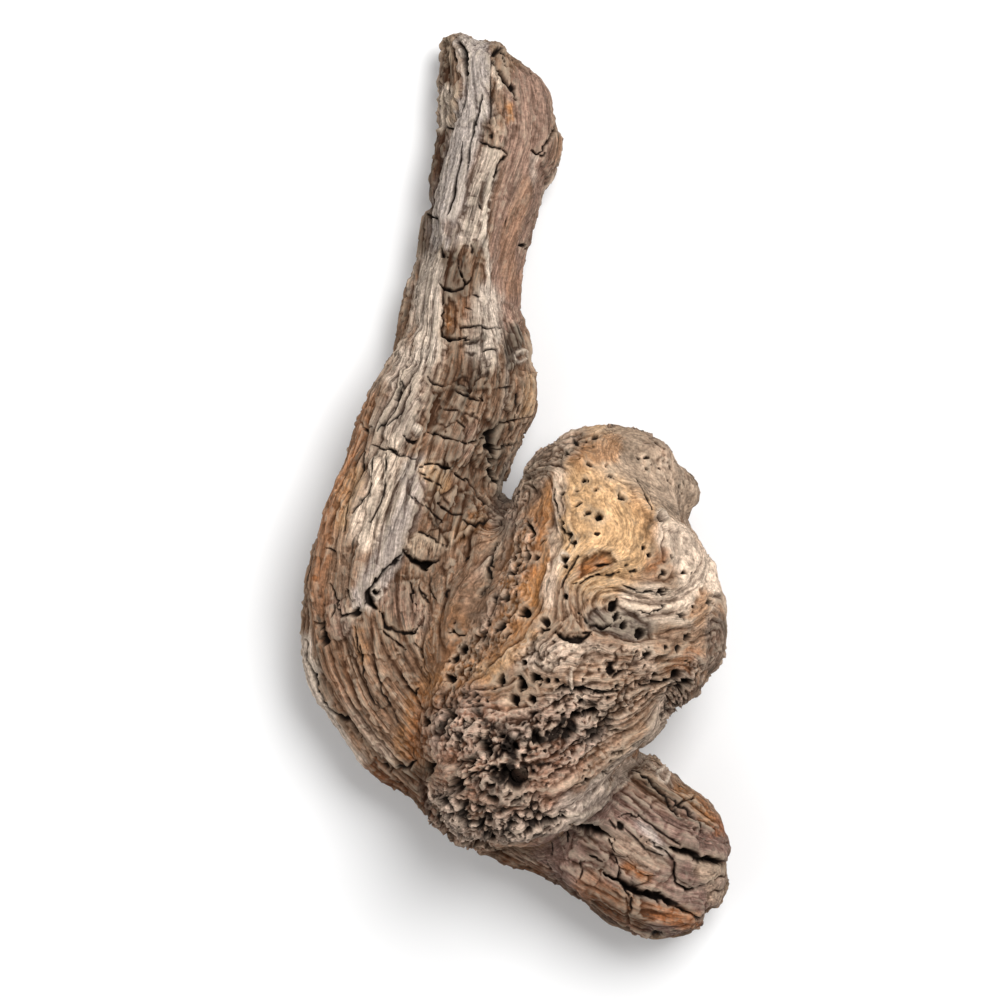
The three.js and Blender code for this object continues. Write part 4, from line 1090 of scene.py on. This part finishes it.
SILVER = paint(186, 173, 164)
PALE = paint(202, 185, 169)
CREAM = paint(227, 204, 182)
STONE = paint(178, 153, 129)
TAN = paint(150, 118, 94)
TAUPE = paint(132, 101, 79)
ROSE = paint(148, 119, 104)
PURPLE = paint(124, 97, 87)
CLAY = paint(156, 114, 93)
BLUSH = paint(200, 171, 154)
GOLD = paint(206, 164, 119)
AMBER = paint(158, 107, 62)
ORANGE = paint(152, 90, 43)
RUST = paint(102, 63, 39)
BROWN = paint(104, 76, 57)
UMBER = paint(70, 46, 32)
SLATE = paint(110, 98, 89)
SOOT = paint(44, 38, 34)
TONES = [  # colour, line in picture points, radius, strength
    (PURPLE, [(600, 850), (700, 890)], 75, 1.0),
    # painted shade: a dark strip down the arm's left side, which is turned away from the light
    (UMBER, [(443, 45), (442, 100), (438, 160), (431, 215), (421, 270)], 9, 0.95),
    (STONE, [(446, 38), (446, 58)], 7, 0.7),
    (SILVER, [(474, 48), (479, 80), (470, 125), (459, 165), (450, 205), (443, 236)], 16, 0.95),
    (STONE, [(453, 90), (451, 124)], 7, 0.9),
    (ROSE, [(532, 90), (527, 150), (515, 230), (508, 310)], 27, 0.85),
    (PALE, [(490, 155), (483, 180), (476, 210), (471, 236)], 12, 0.75),
    (TAN, [(496, 122), (493, 138)], 9, 0.6),
    (PALE, [(491, 173), (487, 200), (481, 238), (487, 265), (487, 300)], 4, 0.9),
    (CREAM, [(497, 64), (501, 74), (505, 84)], 4, 0.9),
    (PALE, [(535, 158), (533, 182)], 4, 0.5),
    (AMBER, [(523, 185), (510, 230), (514, 290)], 9, 0.25),
    (AMBER, [(509, 106), (511, 120)], 3, 0.9),
    (UMBER, [(484, 122), (490, 136)], 3, 0.6),
    (PALE, [(430, 262), (428, 300), (424, 350)], 15, 0.85),
    (PALE, [(488, 300), (482, 360)], 17, 0.9),
    (BROWN, [(451, 228), (452, 232)], 6, 0.6),
    (UMBER, [(442, 246), (446, 256)], 6, 0.85),
    (UMBER, [(472, 242), (471, 251)], 4, 0.85),
    (UMBER, [(452, 266), (453, 284)], 13, 0.75),
    (TAN, [(455, 281), (456, 285)], 5, 0.7),
    (BROWN, [(450, 305), (450, 332)], 9, 0.85),
    (AMBER, [(451, 312), (450, 328)], 5, 0.5),
    (UMBER, [(455, 258), (462, 288)], 10, 0.6),
    (SOOT, [(514, 330), (511, 362)], 7, 0.85),
    (GOLD, [(529, 382), (527, 412)], 8, 0.4),
    (PALE, [(412, 362), (403, 400), (390, 432)], 18, 0.7),
    (TAN, [(350, 480), (335, 550), (340, 600)], 14, 0.7),
    (GOLD, [(352, 476), (341, 520)], 10, 0.4),
    (ORANGE, [(368, 405), (348, 460), (330, 520), (316, 575)], 9, 0.45),
    (CREAM, [(386, 452), (382, 490), (369, 530)], 19, 0.95),
    (SILVER, [(416, 470), (408, 510), (392, 550), (366, 598)], 15, 0.75),
    (BROWN, [(465, 385), (460, 440), (455, 500), (440, 535)], 30, 0.85),
    (RUST, [(462, 488), (440, 520)], 14, 0.35),
    (GOLD, [(428, 470), (446, 484)], 9, 0.45),
    (AMBER, [(480, 518), (452, 541)], 8, 0.5),
    (ROSE, [(474, 428), (468, 452)], 10, 0.6),
    # painted shade: dark at the left edge of the blocks, under the ledge
    (UMBER, [(438, 394), (432, 425)], 8, 0.7),
    (PALE, [(414, 428), (417, 433)], 4, 0.9),
    (UMBER, [(497, 425), (494, 475)], 9, 0.7),
    (STONE, [(418, 546), (440, 546)], 13, 0.75),
    (TAUPE, [(440, 590), (405, 650), (395, 705)], 42, 0.8),
    (ROSE, [(395, 600), (412, 615)], 16, 0.5),
    (ROSE, [(336, 608), (343, 628)], 12, 0.6),
    (AMBER, [(450, 620), (432, 665)], 18, 0.35),
    (AMBER, [(430, 690), (414, 735), (416, 770)], 18, 0.6),
    (ORANGE, [(426, 700), (416, 750)], 11, 0.45),
    (AMBER, [(357, 628), (362, 662)], 5, 0.6),
    (ORANGE, [(318, 580), (325, 640), (345, 700)], 10, 0.3),
    (PALE, [(303, 640), (316, 690), (340, 732), (366, 764)], 8, 0.85),
    # rust-brown wood and painted shade: the bend's lower left edge, turned under and away from the light
    (RUST, [(386, 768), (424, 800)], 12, 0.85),
    # painted shade on the bend's turned-under lower left edge
    (UMBER, [(408, 766), (420, 780)], 10, 0.85),
    (GOLD, [(610, 470), (600, 545)], 52, 0.9),
    (AMBER, [(538, 500), (522, 590)], 25, 0.85),
    (AMBER, [(530, 600), (490, 645), (448, 696)], 19, 0.8),
    (ORANGE, [(540, 520), (530, 570)], 8, 0.35),
    (GOLD, [(530, 640), (480, 680)], 10, 0.4),
    (CREAM, [(562, 468), (556, 530), (548, 602)], 6, 0.5),
    (CREAM, [(674, 535), (700, 570), (690, 608), (640, 605)], 20, 0.75),
    (SLATE, [(506, 515), (520, 484), (545, 456), (575, 438)], 19, 0.65),
    (STONE, [(625, 450), (682, 488)], 36, 0.9),
    (SLATE, [(640, 455), (685, 488)], 30, 0.42),
    (STONE, [(530, 478), (560, 448)], 10, 0.5),
    (AMBER, [(583, 454), (606, 448)], 15, 0.65),
    (AMBER, [(636, 500), (650, 530)], 11, 0.35),
    (BROWN, [(655, 438), (672, 452)], 10, 0.4),
    (ORANGE, [(583, 570), (604, 562)], 9, 0.85),
    (ORANGE, [(650, 568), (664, 556)], 8, 0.5),
    # painted shade: slate grey, and soot in the next stroke, in the hollow under the step down from the
    # burl's crown
    (SLATE, [(600, 620), (645, 628)], 14, 0.9),
    (SOOT, [(604, 622), (640, 630)], 10, 0.25),
    (CREAM, [(540, 655), (640, 662)], 17, 0.6),
    (TAN, [(470, 740), (560, 730), (620, 700)], 56, 0.9),
    (CLAY, [(462, 728), (495, 758), (555, 738)], 42, 0.9),
    (CLAY, [(448, 800), (490, 815), (540, 806)], 30, 0.6),
    (PALE, [(470, 740), (510, 736), (590, 700)], 22, 0.25),
    (AMBER, [(440, 700), (480, 690)], 16, 0.4),
    (PALE, [(440, 800), (470, 826), (540, 828), (585, 800), (640, 752), (680, 692)], 12, 0.6),
    (SLATE, [(490, 784), (512, 792)], 12, 0.6),
    (SLATE, [(716, 628), (718, 664)], 13, 0.85),
    (BROWN, [(690, 690), (672, 712)], 9, 0.7),
    (UMBER, [(676, 676), (694, 685)], 8, 0.8),
    (AMBER, [(702, 598), (696, 618)], 8, 0.7),
    (ORANGE, [(690, 655), (672, 672)], 8, 0.5),
    (ORANGE, [(630, 866), (645, 874)], 9, 0.8),
    (ORANGE, [(650, 910), (692, 922)], 10, 0.75),
    (ORANGE, [(702, 795), (716, 830)], 9, 0.5),
    (SILVER, [(638, 826), (666, 852)], 6, 0.7),
    (PALE, [(580, 821), (594, 825)], 4, 0.8),
    (CREAM, [(571, 671), (574, 693)], 2, 0.9),
    (ORANGE, [(590, 885), (626, 914)], 14, 0.45),
    (BROWN, [(640, 775), (690, 800)], 13, 0.6),
    (AMBER, [(684, 790), (706, 818)], 9, 0.5),
    (STONE, [(618, 842), (660, 858)], 11, 0.4),
    # painted shade along the edges of the foot's overlapping lobes, as in the next stroke
    (UMBER, [(586, 838), (600, 868)], 8, 0.5),
    (UMBER, [(664, 842), (700, 856)], 6, 0.5),
    (UMBER, [(492, 425), (493, 460)], 8, 0.7),
    # painted shade below the tongue's broken end
    (BROWN, [(425, 565), (405, 580)], 9, 0.6),
    # painted shade along the foot's turned-under lower edge
    (UMBER, [(500, 850), (560, 890), (620, 932)], 8, 0.7),
    (RUST, [(600, 895), (636, 914)], 14, 0.9),
    (RUST, [(510, 860), (545, 872)], 8, 0.5),
    (STONE, [(702, 868), (724, 868)], 11, 0.6),
    (RUST, [(448, 625), (434, 655)], 14, 0.35),
    (ORANGE, [(422, 728), (418, 756)], 12, 0.5),
    # rust-brown wood and painted shade on the bend's turned-under lower left edge
    (RUST, [(380, 765), (402, 788)], 12, 0.9),
    (RUST, [(508, 858), (536, 869)], 9, 0.7),
    (RUST, [(618, 898), (642, 914)], 12, 0.85),
    (TAUPE, [(583, 454), (600, 450)], 12, 0.3),
    (BROWN, [(716, 632), (717, 662)], 11, 0.4),
    (STONE, [(712, 884), (718, 898)], 10, 0.5),
    (PALE, [(447, 92), (446, 124)], 7, 0.7),
    (UMBER, [(452, 266), (453, 280)], 9, 0.6),
]
TONE_WANDER = 4.9  # picture points by which a stroke's edge strays, as the next
TONE_STRAY = 3.5
TONE_SPREAD = 1.25  # a stroke's radius where it has faded out, as a share of the one given
TONE_SOFTNESS = 0.8
TONE_FIBRE = 0.3  # how much the fibres break a stroke's edge up
TONE_FADE = (0.15, 0.75)
FIBRE_CONTRAST = 0.12
PATCH_CONTRAST = 0.10
DARKEST = 0.01
PALEST = 0.9
fibre = streaks(32, 1.9, 50)
patches = blotches(21, 51)
UNDERTONES = [  # colour, strength, noise, and the values at which the colour starts and is full
    (BROWN, 0.6, patches, (0.0, 0.8)),
    (PALE, 0.55, streaks(70, 7, 52), (0.15, 0.8)),
    (ORANGE, 0.4, blotches(27, 53), (0.3, 0.8)),
]
OVERTONES = [  # colour and share: rims, high and low places in the sponge (blush with a painted highlight, rust with painted shade), its lumps, and the blocks
    (PALE, 0.8 * rimmed),
    (BLUSH, 0.5 * sponge * crest),
    (RUST, 0.75 * sponge * groove),
    (BLUSH, 0.95 * np.maximum(lump_tone, 0)),
    (RUST, 0.8 * np.maximum(-lump_tone, 0)),
    (TAN, 0.9 * np.maximum(block_tone, 0)),
    (UMBER, np.maximum(-block_tone, 0)),
]


def toned(tone, colour, share):
    """Mixes a share of a colour into the tone of each point."""
    return tone + share[:, None] * (colour - tone)


tone_picture = picture + TONE_WANDER * wander + TONE_STRAY * stray
tone = toned(TAUPE, TAN, burl)
for colour, strength, noise, noise_range in UNDERTONES:
    tone = toned(tone, colour, strength * smooth_step(noise, *noise_range))
for colour, line, radius, strength in TONES:
    mask = brushed(line, radius * TONE_SPREAD, TONE_SOFTNESS, tone_picture)
    tone = toned(tone, colour, strength * smooth_step(mask + TONE_FIBRE * fibre * mask, *TONE_FADE))
for colour, share in OVERTONES:
    tone = toned(tone, colour, share)
contrast = 1 + FIBRE_CONTRAST * fibre + PATCH_CONTRAST * patches
tone = np.clip(tone * contrast[:, None], DARKEST, PALEST)

# What the finish is worked out from, kept at each point; then the mesh is thinned where it is flat
FIBRE_LENGTH = 14  # how many times longer than wide the finest fibres are
BURL_FIBRE_LENGTH = 7
SMOOTH_CALM = 0.75  # how much fainter the dark lines of the grain are on smooth wood, burl and knob
BURL_CALM = 0.6
KNOB_CALM = 0.4
limb_fibre = np.stack([along / FIBRE_LENGTH, across, above], axis=1)
keep_values("tone", "FLOAT_COLOR", np.hstack([tone, np.ones((len(places), 1))]))
keep_values("grain", "FLOAT_VECTOR", limb_fibre + burl[:, None] * (places / BURL_FIBRE_LENGTH - limb_fibre))
keep_values("rings", "FLOAT", burl * flow * (1 - KNOB_LOSS * knob))
keep_values("crest", "FLOAT", crest)
keep_values("groove", "FLOAT", groove)
keep_values("hollow_shade", "FLOAT", hollow_shade)
keep_values("sponge", "FLOAT", sponge)
calm_wood = np.maximum(SMOOTH_CALM * smooth_wood, BURL_CALM * burl) + KNOB_CALM * knob
keep_values("calm", "FLOAT", np.clip(calm_wood, 0, 1))

TRIANGLES = 196000
reshape("DECIMATE", ratio=min(1.0, TRIANGLES / (2 * len(wood.data.polygons))))
places = read_places()
places[:, 2] = np.maximum(places[:, 2], 0)
write_places(places)
wood.data.shade_smooth()

# The wood's finish
# Bare, dry and matt: fine fibres along the grain, bleached with a painted highlight where they stand up,
# brown with painted shade where they lie low.
# Pairs of noise give its swings to a millimetre of grain and its detail; specks and pits go by the metre.
GLOSS = 0.08
FIBRES = (0.9, 5.0)
STRANDS = (0.28, 4.0)
HAIRS = (2.0, 4.0)
SEAMS = (0.5, 2.0)
DASHES = (0.62, 1.0)
SPECKS = (900.0, 3.0)
NOISE_ROUGHNESS = 0.6
MIDDLE = 0.5  # the middle of a noise's values
MOST = (0.34, 0.66)  # where most of a noise's values lie
PIT_BEND_SCALE = 300.0
PIT_BEND_LENGTH = 0.003  # metres
# the pale of sun-bleached wood where it stands up, which also serves as a painted highlight
BLEACH_AND_HIGHLIGHT = paint(212, 194, 170)
# the brown of the old wood in low places, which also serves as painted shade there
LOW_BROWN = paint(58, 34, 19)
LOW_SHARE = 0.85
# the near-black of the painted shade in cracks, holes, pits and gaps
CRACK_BLACK = paint(20, 15, 12)
FINE_PITS = 360.0
FINE_PIT_EDGE = (0.2, 0.3)  # from a pit's middle, in cells
# how dark the painted shade in the fine pits is
FINE_PIT_DARK = 0.8
FINE_PIT_DEPTH = 1.6
SEAM_WIDTH = 0.03
SEAM_DARK = 0.36
DASH_EDGE = (0.27, 0.34)
DASH_DARK = 0.25
DASH_CALM = 0.06
BLEACH_HIGHLIGHT_EDGE = (0.35, 0.6)
BLEACH_HIGHLIGHT_SHARE = (0.08, 0.42)
EATEN_EDGE = (0.1, 0.8)
EATEN_SHARE = 0.9
# where the painted shade in hollows starts and is full, and how dark it gets
HOLLOW_EDGE = (0.15, 0.85)
HOLLOW_SHARE = 0.96
ROUGH_EDGE = (0.2, 0.8)
ROUGHNESS = (0.95, 0.74)
SPECK_BUMP = (0.25, 0.9)  # in sound wood and in the sponge
BUMP_STRENGTH = 0.9
BUMP_HEIGHT = 0.0008  # metres
finish = bpy.data.materials.new("weathered_wood")
finish.use_nodes = True
nodes = finish.node_tree.nodes
links = finish.node_tree.links
shader = nodes["Principled BSDF"]
shader.inputs["Specular IOR Level"].default_value = GLOSS


def kept(name, output):
    """A value kept at the points of the wood."""
    node = nodes.new("ShaderNodeAttribute")
    node.attribute_name = name
    return node.outputs[output]


def fibre_noise(scale, detail):
    """Noise drawn out along the fibres of the limb, or along the burl's flow."""
    node = nodes.new("ShaderNodeTexNoise")
    node.noise_dimensions = "4D"
    node.inputs["Scale"].default_value = scale
    node.inputs["Detail"].default_value = detail
    node.inputs["Roughness"].default_value = NOISE_ROUGHNESS
    links.new(kept("grain", "Vector"), node.inputs["Vector"])
    links.new(kept("rings", "Fac"), node.inputs["W"])
    return node.outputs["Fac"]


def speck_noise(scale, detail):
    """Noise alike in all directions."""
    node = nodes.new("ShaderNodeTexNoise")
    node.inputs["Scale"].default_value = scale
    node.inputs["Detail"].default_value = detail
    places_node = nodes.new("ShaderNodeTexCoord")
    links.new(places_node.outputs["Object"], node.inputs["Vector"])
    return node.outputs["Fac"]


def cell_noise(scale):
    """The distance to the nearest of scattered fine pits, in cells, with their outlines bent."""
    node = nodes.new("ShaderNodeTexVoronoi")
    node.inputs["Scale"].default_value = scale
    bend_noise = nodes.new("ShaderNodeTexNoise")
    bend_noise.inputs["Scale"].default_value = PIT_BEND_SCALE
    bent = nodes.new("ShaderNodeVectorMath")
    bent.operation = "MULTIPLY_ADD"
    bent.inputs[1].default_value = 3 * (PIT_BEND_LENGTH,)
    places_node = nodes.new("ShaderNodeTexCoord")
    links.new(places_node.outputs["Object"], bend_noise.inputs["Vector"])
    links.new(bend_noise.outputs["Color"], bent.inputs[0])
    links.new(places_node.outputs["Object"], bent.inputs[2])
    links.new(bent.outputs["Vector"], node.inputs["Vector"])
    return node.outputs["Distance"]


def ranged(value, low, high, to_low, to_high):
    """Maps a value's range to another and stops at its ends."""
    node = nodes.new("ShaderNodeMapRange")
    node.inputs["From Min"].default_value = low
    node.inputs["From Max"].default_value = high
    node.inputs["To Min"].default_value = to_low
    node.inputs["To Max"].default_value = to_high
    links.new(value, node.inputs["Value"])
    return node.outputs["Result"]


def worked(kind, first, second):
    """One step of arithmetic on two values, each a number or a socket."""
    node = nodes.new("ShaderNodeMath")
    node.operation = kind
    for socket, value in zip(node.inputs, (first, second)):
        if isinstance(value, (int, float)):
            socket.default_value = value
        else:
            links.new(value, socket)
    return node.outputs["Value"]


def blended(kind, share, first, second):
    """A blend of two colours, by a share that is a number or a socket."""
    node = nodes.new("ShaderNodeMix")
    node.data_type = "RGBA"
    node.blend_type = kind
    for socket, value in zip((node.inputs[0], node.inputs[6], node.inputs[7]), (share, first, second)):
        if isinstance(value, bpy.types.NodeSocket):
            links.new(value, socket)
        elif isinstance(value, float):
            socket.default_value = value
        else:
            socket.default_value = (*value, 1.0)
    return node.outputs[2]


fibres = fibre_noise(*FIBRES)
strands = fibre_noise(*STRANDS)
specks = speck_noise(*SPECKS)
hairs = fibre_noise(*HAIRS)
SHADES = [  # noise, and how dark and how light it makes the tone
    (fibres, 0.55, 1.45),
    (strands, 0.74, 1.26),
    (hairs, 0.62, 1.38),
    (specks, 0.72, 1.28),
]
shade = 1.0
for noise, darkest, lightest in SHADES:
    shade = worked("MULTIPLY", shade, ranged(noise, *MOST, darkest, lightest))
calm = kept("calm", "Fac")
seam = worked("ABSOLUTE", worked("SUBTRACT", fibre_noise(*SEAMS), MIDDLE), 0.0)
seam = worked("ADD", seam, ranged(calm, 0.0, 1.0, 0.0, SEAM_WIDTH))
shade = worked("MULTIPLY", shade, ranged(seam, 0.0, SEAM_WIDTH, SEAM_DARK, 1.0))
dashes = worked("ADD", fibre_noise(*DASHES), ranged(calm, 0.0, 1.0, 0.0, DASH_CALM))
shade = worked("MULTIPLY", shade, ranged(dashes, *DASH_EDGE, DASH_DARK, 1.0))
colour = blended("MULTIPLY", 1.0, kept("tone", "Color"), shade)
# what stands up is bleached and lit by a painted highlight
bleach_and_highlight = worked("MULTIPLY", kept("crest", "Fac"), ranged(strands, *BLEACH_HIGHLIGHT_EDGE, *BLEACH_HIGHLIGHT_SHARE))
colour = blended("MIX", bleach_and_highlight, colour, BLEACH_AND_HIGHLIGHT)
# low places go brown: the old wood's colour and painted shade
colour = blended("MIX", worked("MULTIPLY", kept("groove", "Fac"), LOW_SHARE), colour, LOW_BROWN)
eaten_share = ranged(kept("sponge", "Fac"), *EATEN_EDGE, 0.0, EATEN_SHARE)
fine_pits = worked("MULTIPLY", ranged(cell_noise(FINE_PITS), *FINE_PIT_EDGE, 1.0, 0.0), eaten_share)
# painted shade: cracks, holes, gaps and fine pits go nearly black
dark = ranged(kept("hollow_shade", "Fac"), *HOLLOW_EDGE, 0.0, HOLLOW_SHARE)
dark = worked("MAXIMUM", dark, worked("MULTIPLY", fine_pits, FINE_PIT_DARK))
colour = blended("MIX", dark, colour, CRACK_BLACK)
links.new(colour, shader.inputs["Base Color"])
links.new(ranged(fibres, *ROUGH_EDGE, *ROUGHNESS), shader.inputs["Roughness"])

bump = nodes.new("ShaderNodeBump")
bump.inputs["Strength"].default_value = BUMP_STRENGTH
bump.inputs["Distance"].default_value = BUMP_HEIGHT
speck_height = worked("MULTIPLY", specks, ranged(kept("sponge", "Fac"), 0.0, 1.0, *SPECK_BUMP))
height = worked("ADD", worked("ADD", fibres, hairs), speck_height)
height = worked("SUBTRACT", height, worked("MULTIPLY", fine_pits, FINE_PIT_DEPTH))
links.new(height, bump.inputs["Height"])
links.new(bump.outputs["Normal"], shader.inputs["Normal"])
wood.data.materials.clear()
wood.data.materials.append(finish)
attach(wood, "root")
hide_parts("driftwood")

# The floor and the light
# A plain white table top under an even studio light, with a soft key light from the upper right.
FLOOR_SIZE = 6.0
FLOOR_COLOUR = (0.9, 0.9, 0.9, 1)
FLOOR_ROUGHNESS = 0.8
STUDIO_COLOUR = (1.0, 1.0, 1.0, 1)
STUDIO_LIGHT = 0.36
LIGHTS = [  # name, place, width and watts
    ("key_light", (0.45, 0.5, 1.4), 0.8, 24.0),
    ("fill_light", (-0.9, -0.3, 1.1), 1.0, 5.0),
]
floor_mesh = bpy.data.meshes.new("floor")
half_floor = FLOOR_SIZE / 2
floor_mesh.from_pydata(
    [(-half_floor, -half_floor, 0), (half_floor, -half_floor, 0), (half_floor, half_floor, 0),
     (-half_floor, half_floor, 0)], [], [(0, 1, 2, 3)])
floor = bpy.data.objects.new("floor", floor_mesh)
bpy.context.scene.collection.objects.link(floor)
floor_finish = bpy.data.materials.new("pale_floor")
floor_finish.use_nodes = True
floor_shader = floor_finish.node_tree.nodes["Principled BSDF"]
floor_shader.inputs["Base Color"].default_value = FLOOR_COLOUR
floor_shader.inputs["Roughness"].default_value = FLOOR_ROUGHNESS
floor_mesh.materials.append(floor_finish)

world = bpy.data.worlds.new("studio")
world.use_nodes = True
world.node_tree.nodes["Background"].inputs["Color"].default_value = STUDIO_COLOUR
world.node_tree.nodes["Background"].inputs["Strength"].default_value = STUDIO_LIGHT
bpy.context.scene.world = world
for name, place, width, watts in LIGHTS:
    light_data = bpy.data.lights.new(name, "AREA")
    light_data.size = width
    light_data.energy = watts
    light = bpy.data.objects.new(name, light_data)
    light.location = place
    light.rotation_euler = (-Vector(place)).to_track_quat("-Z", "Y").to_euler()
    bpy.context.scene.collection.objects.link(light)
bpy.context.scene.view_settings.view_transform = "Standard"
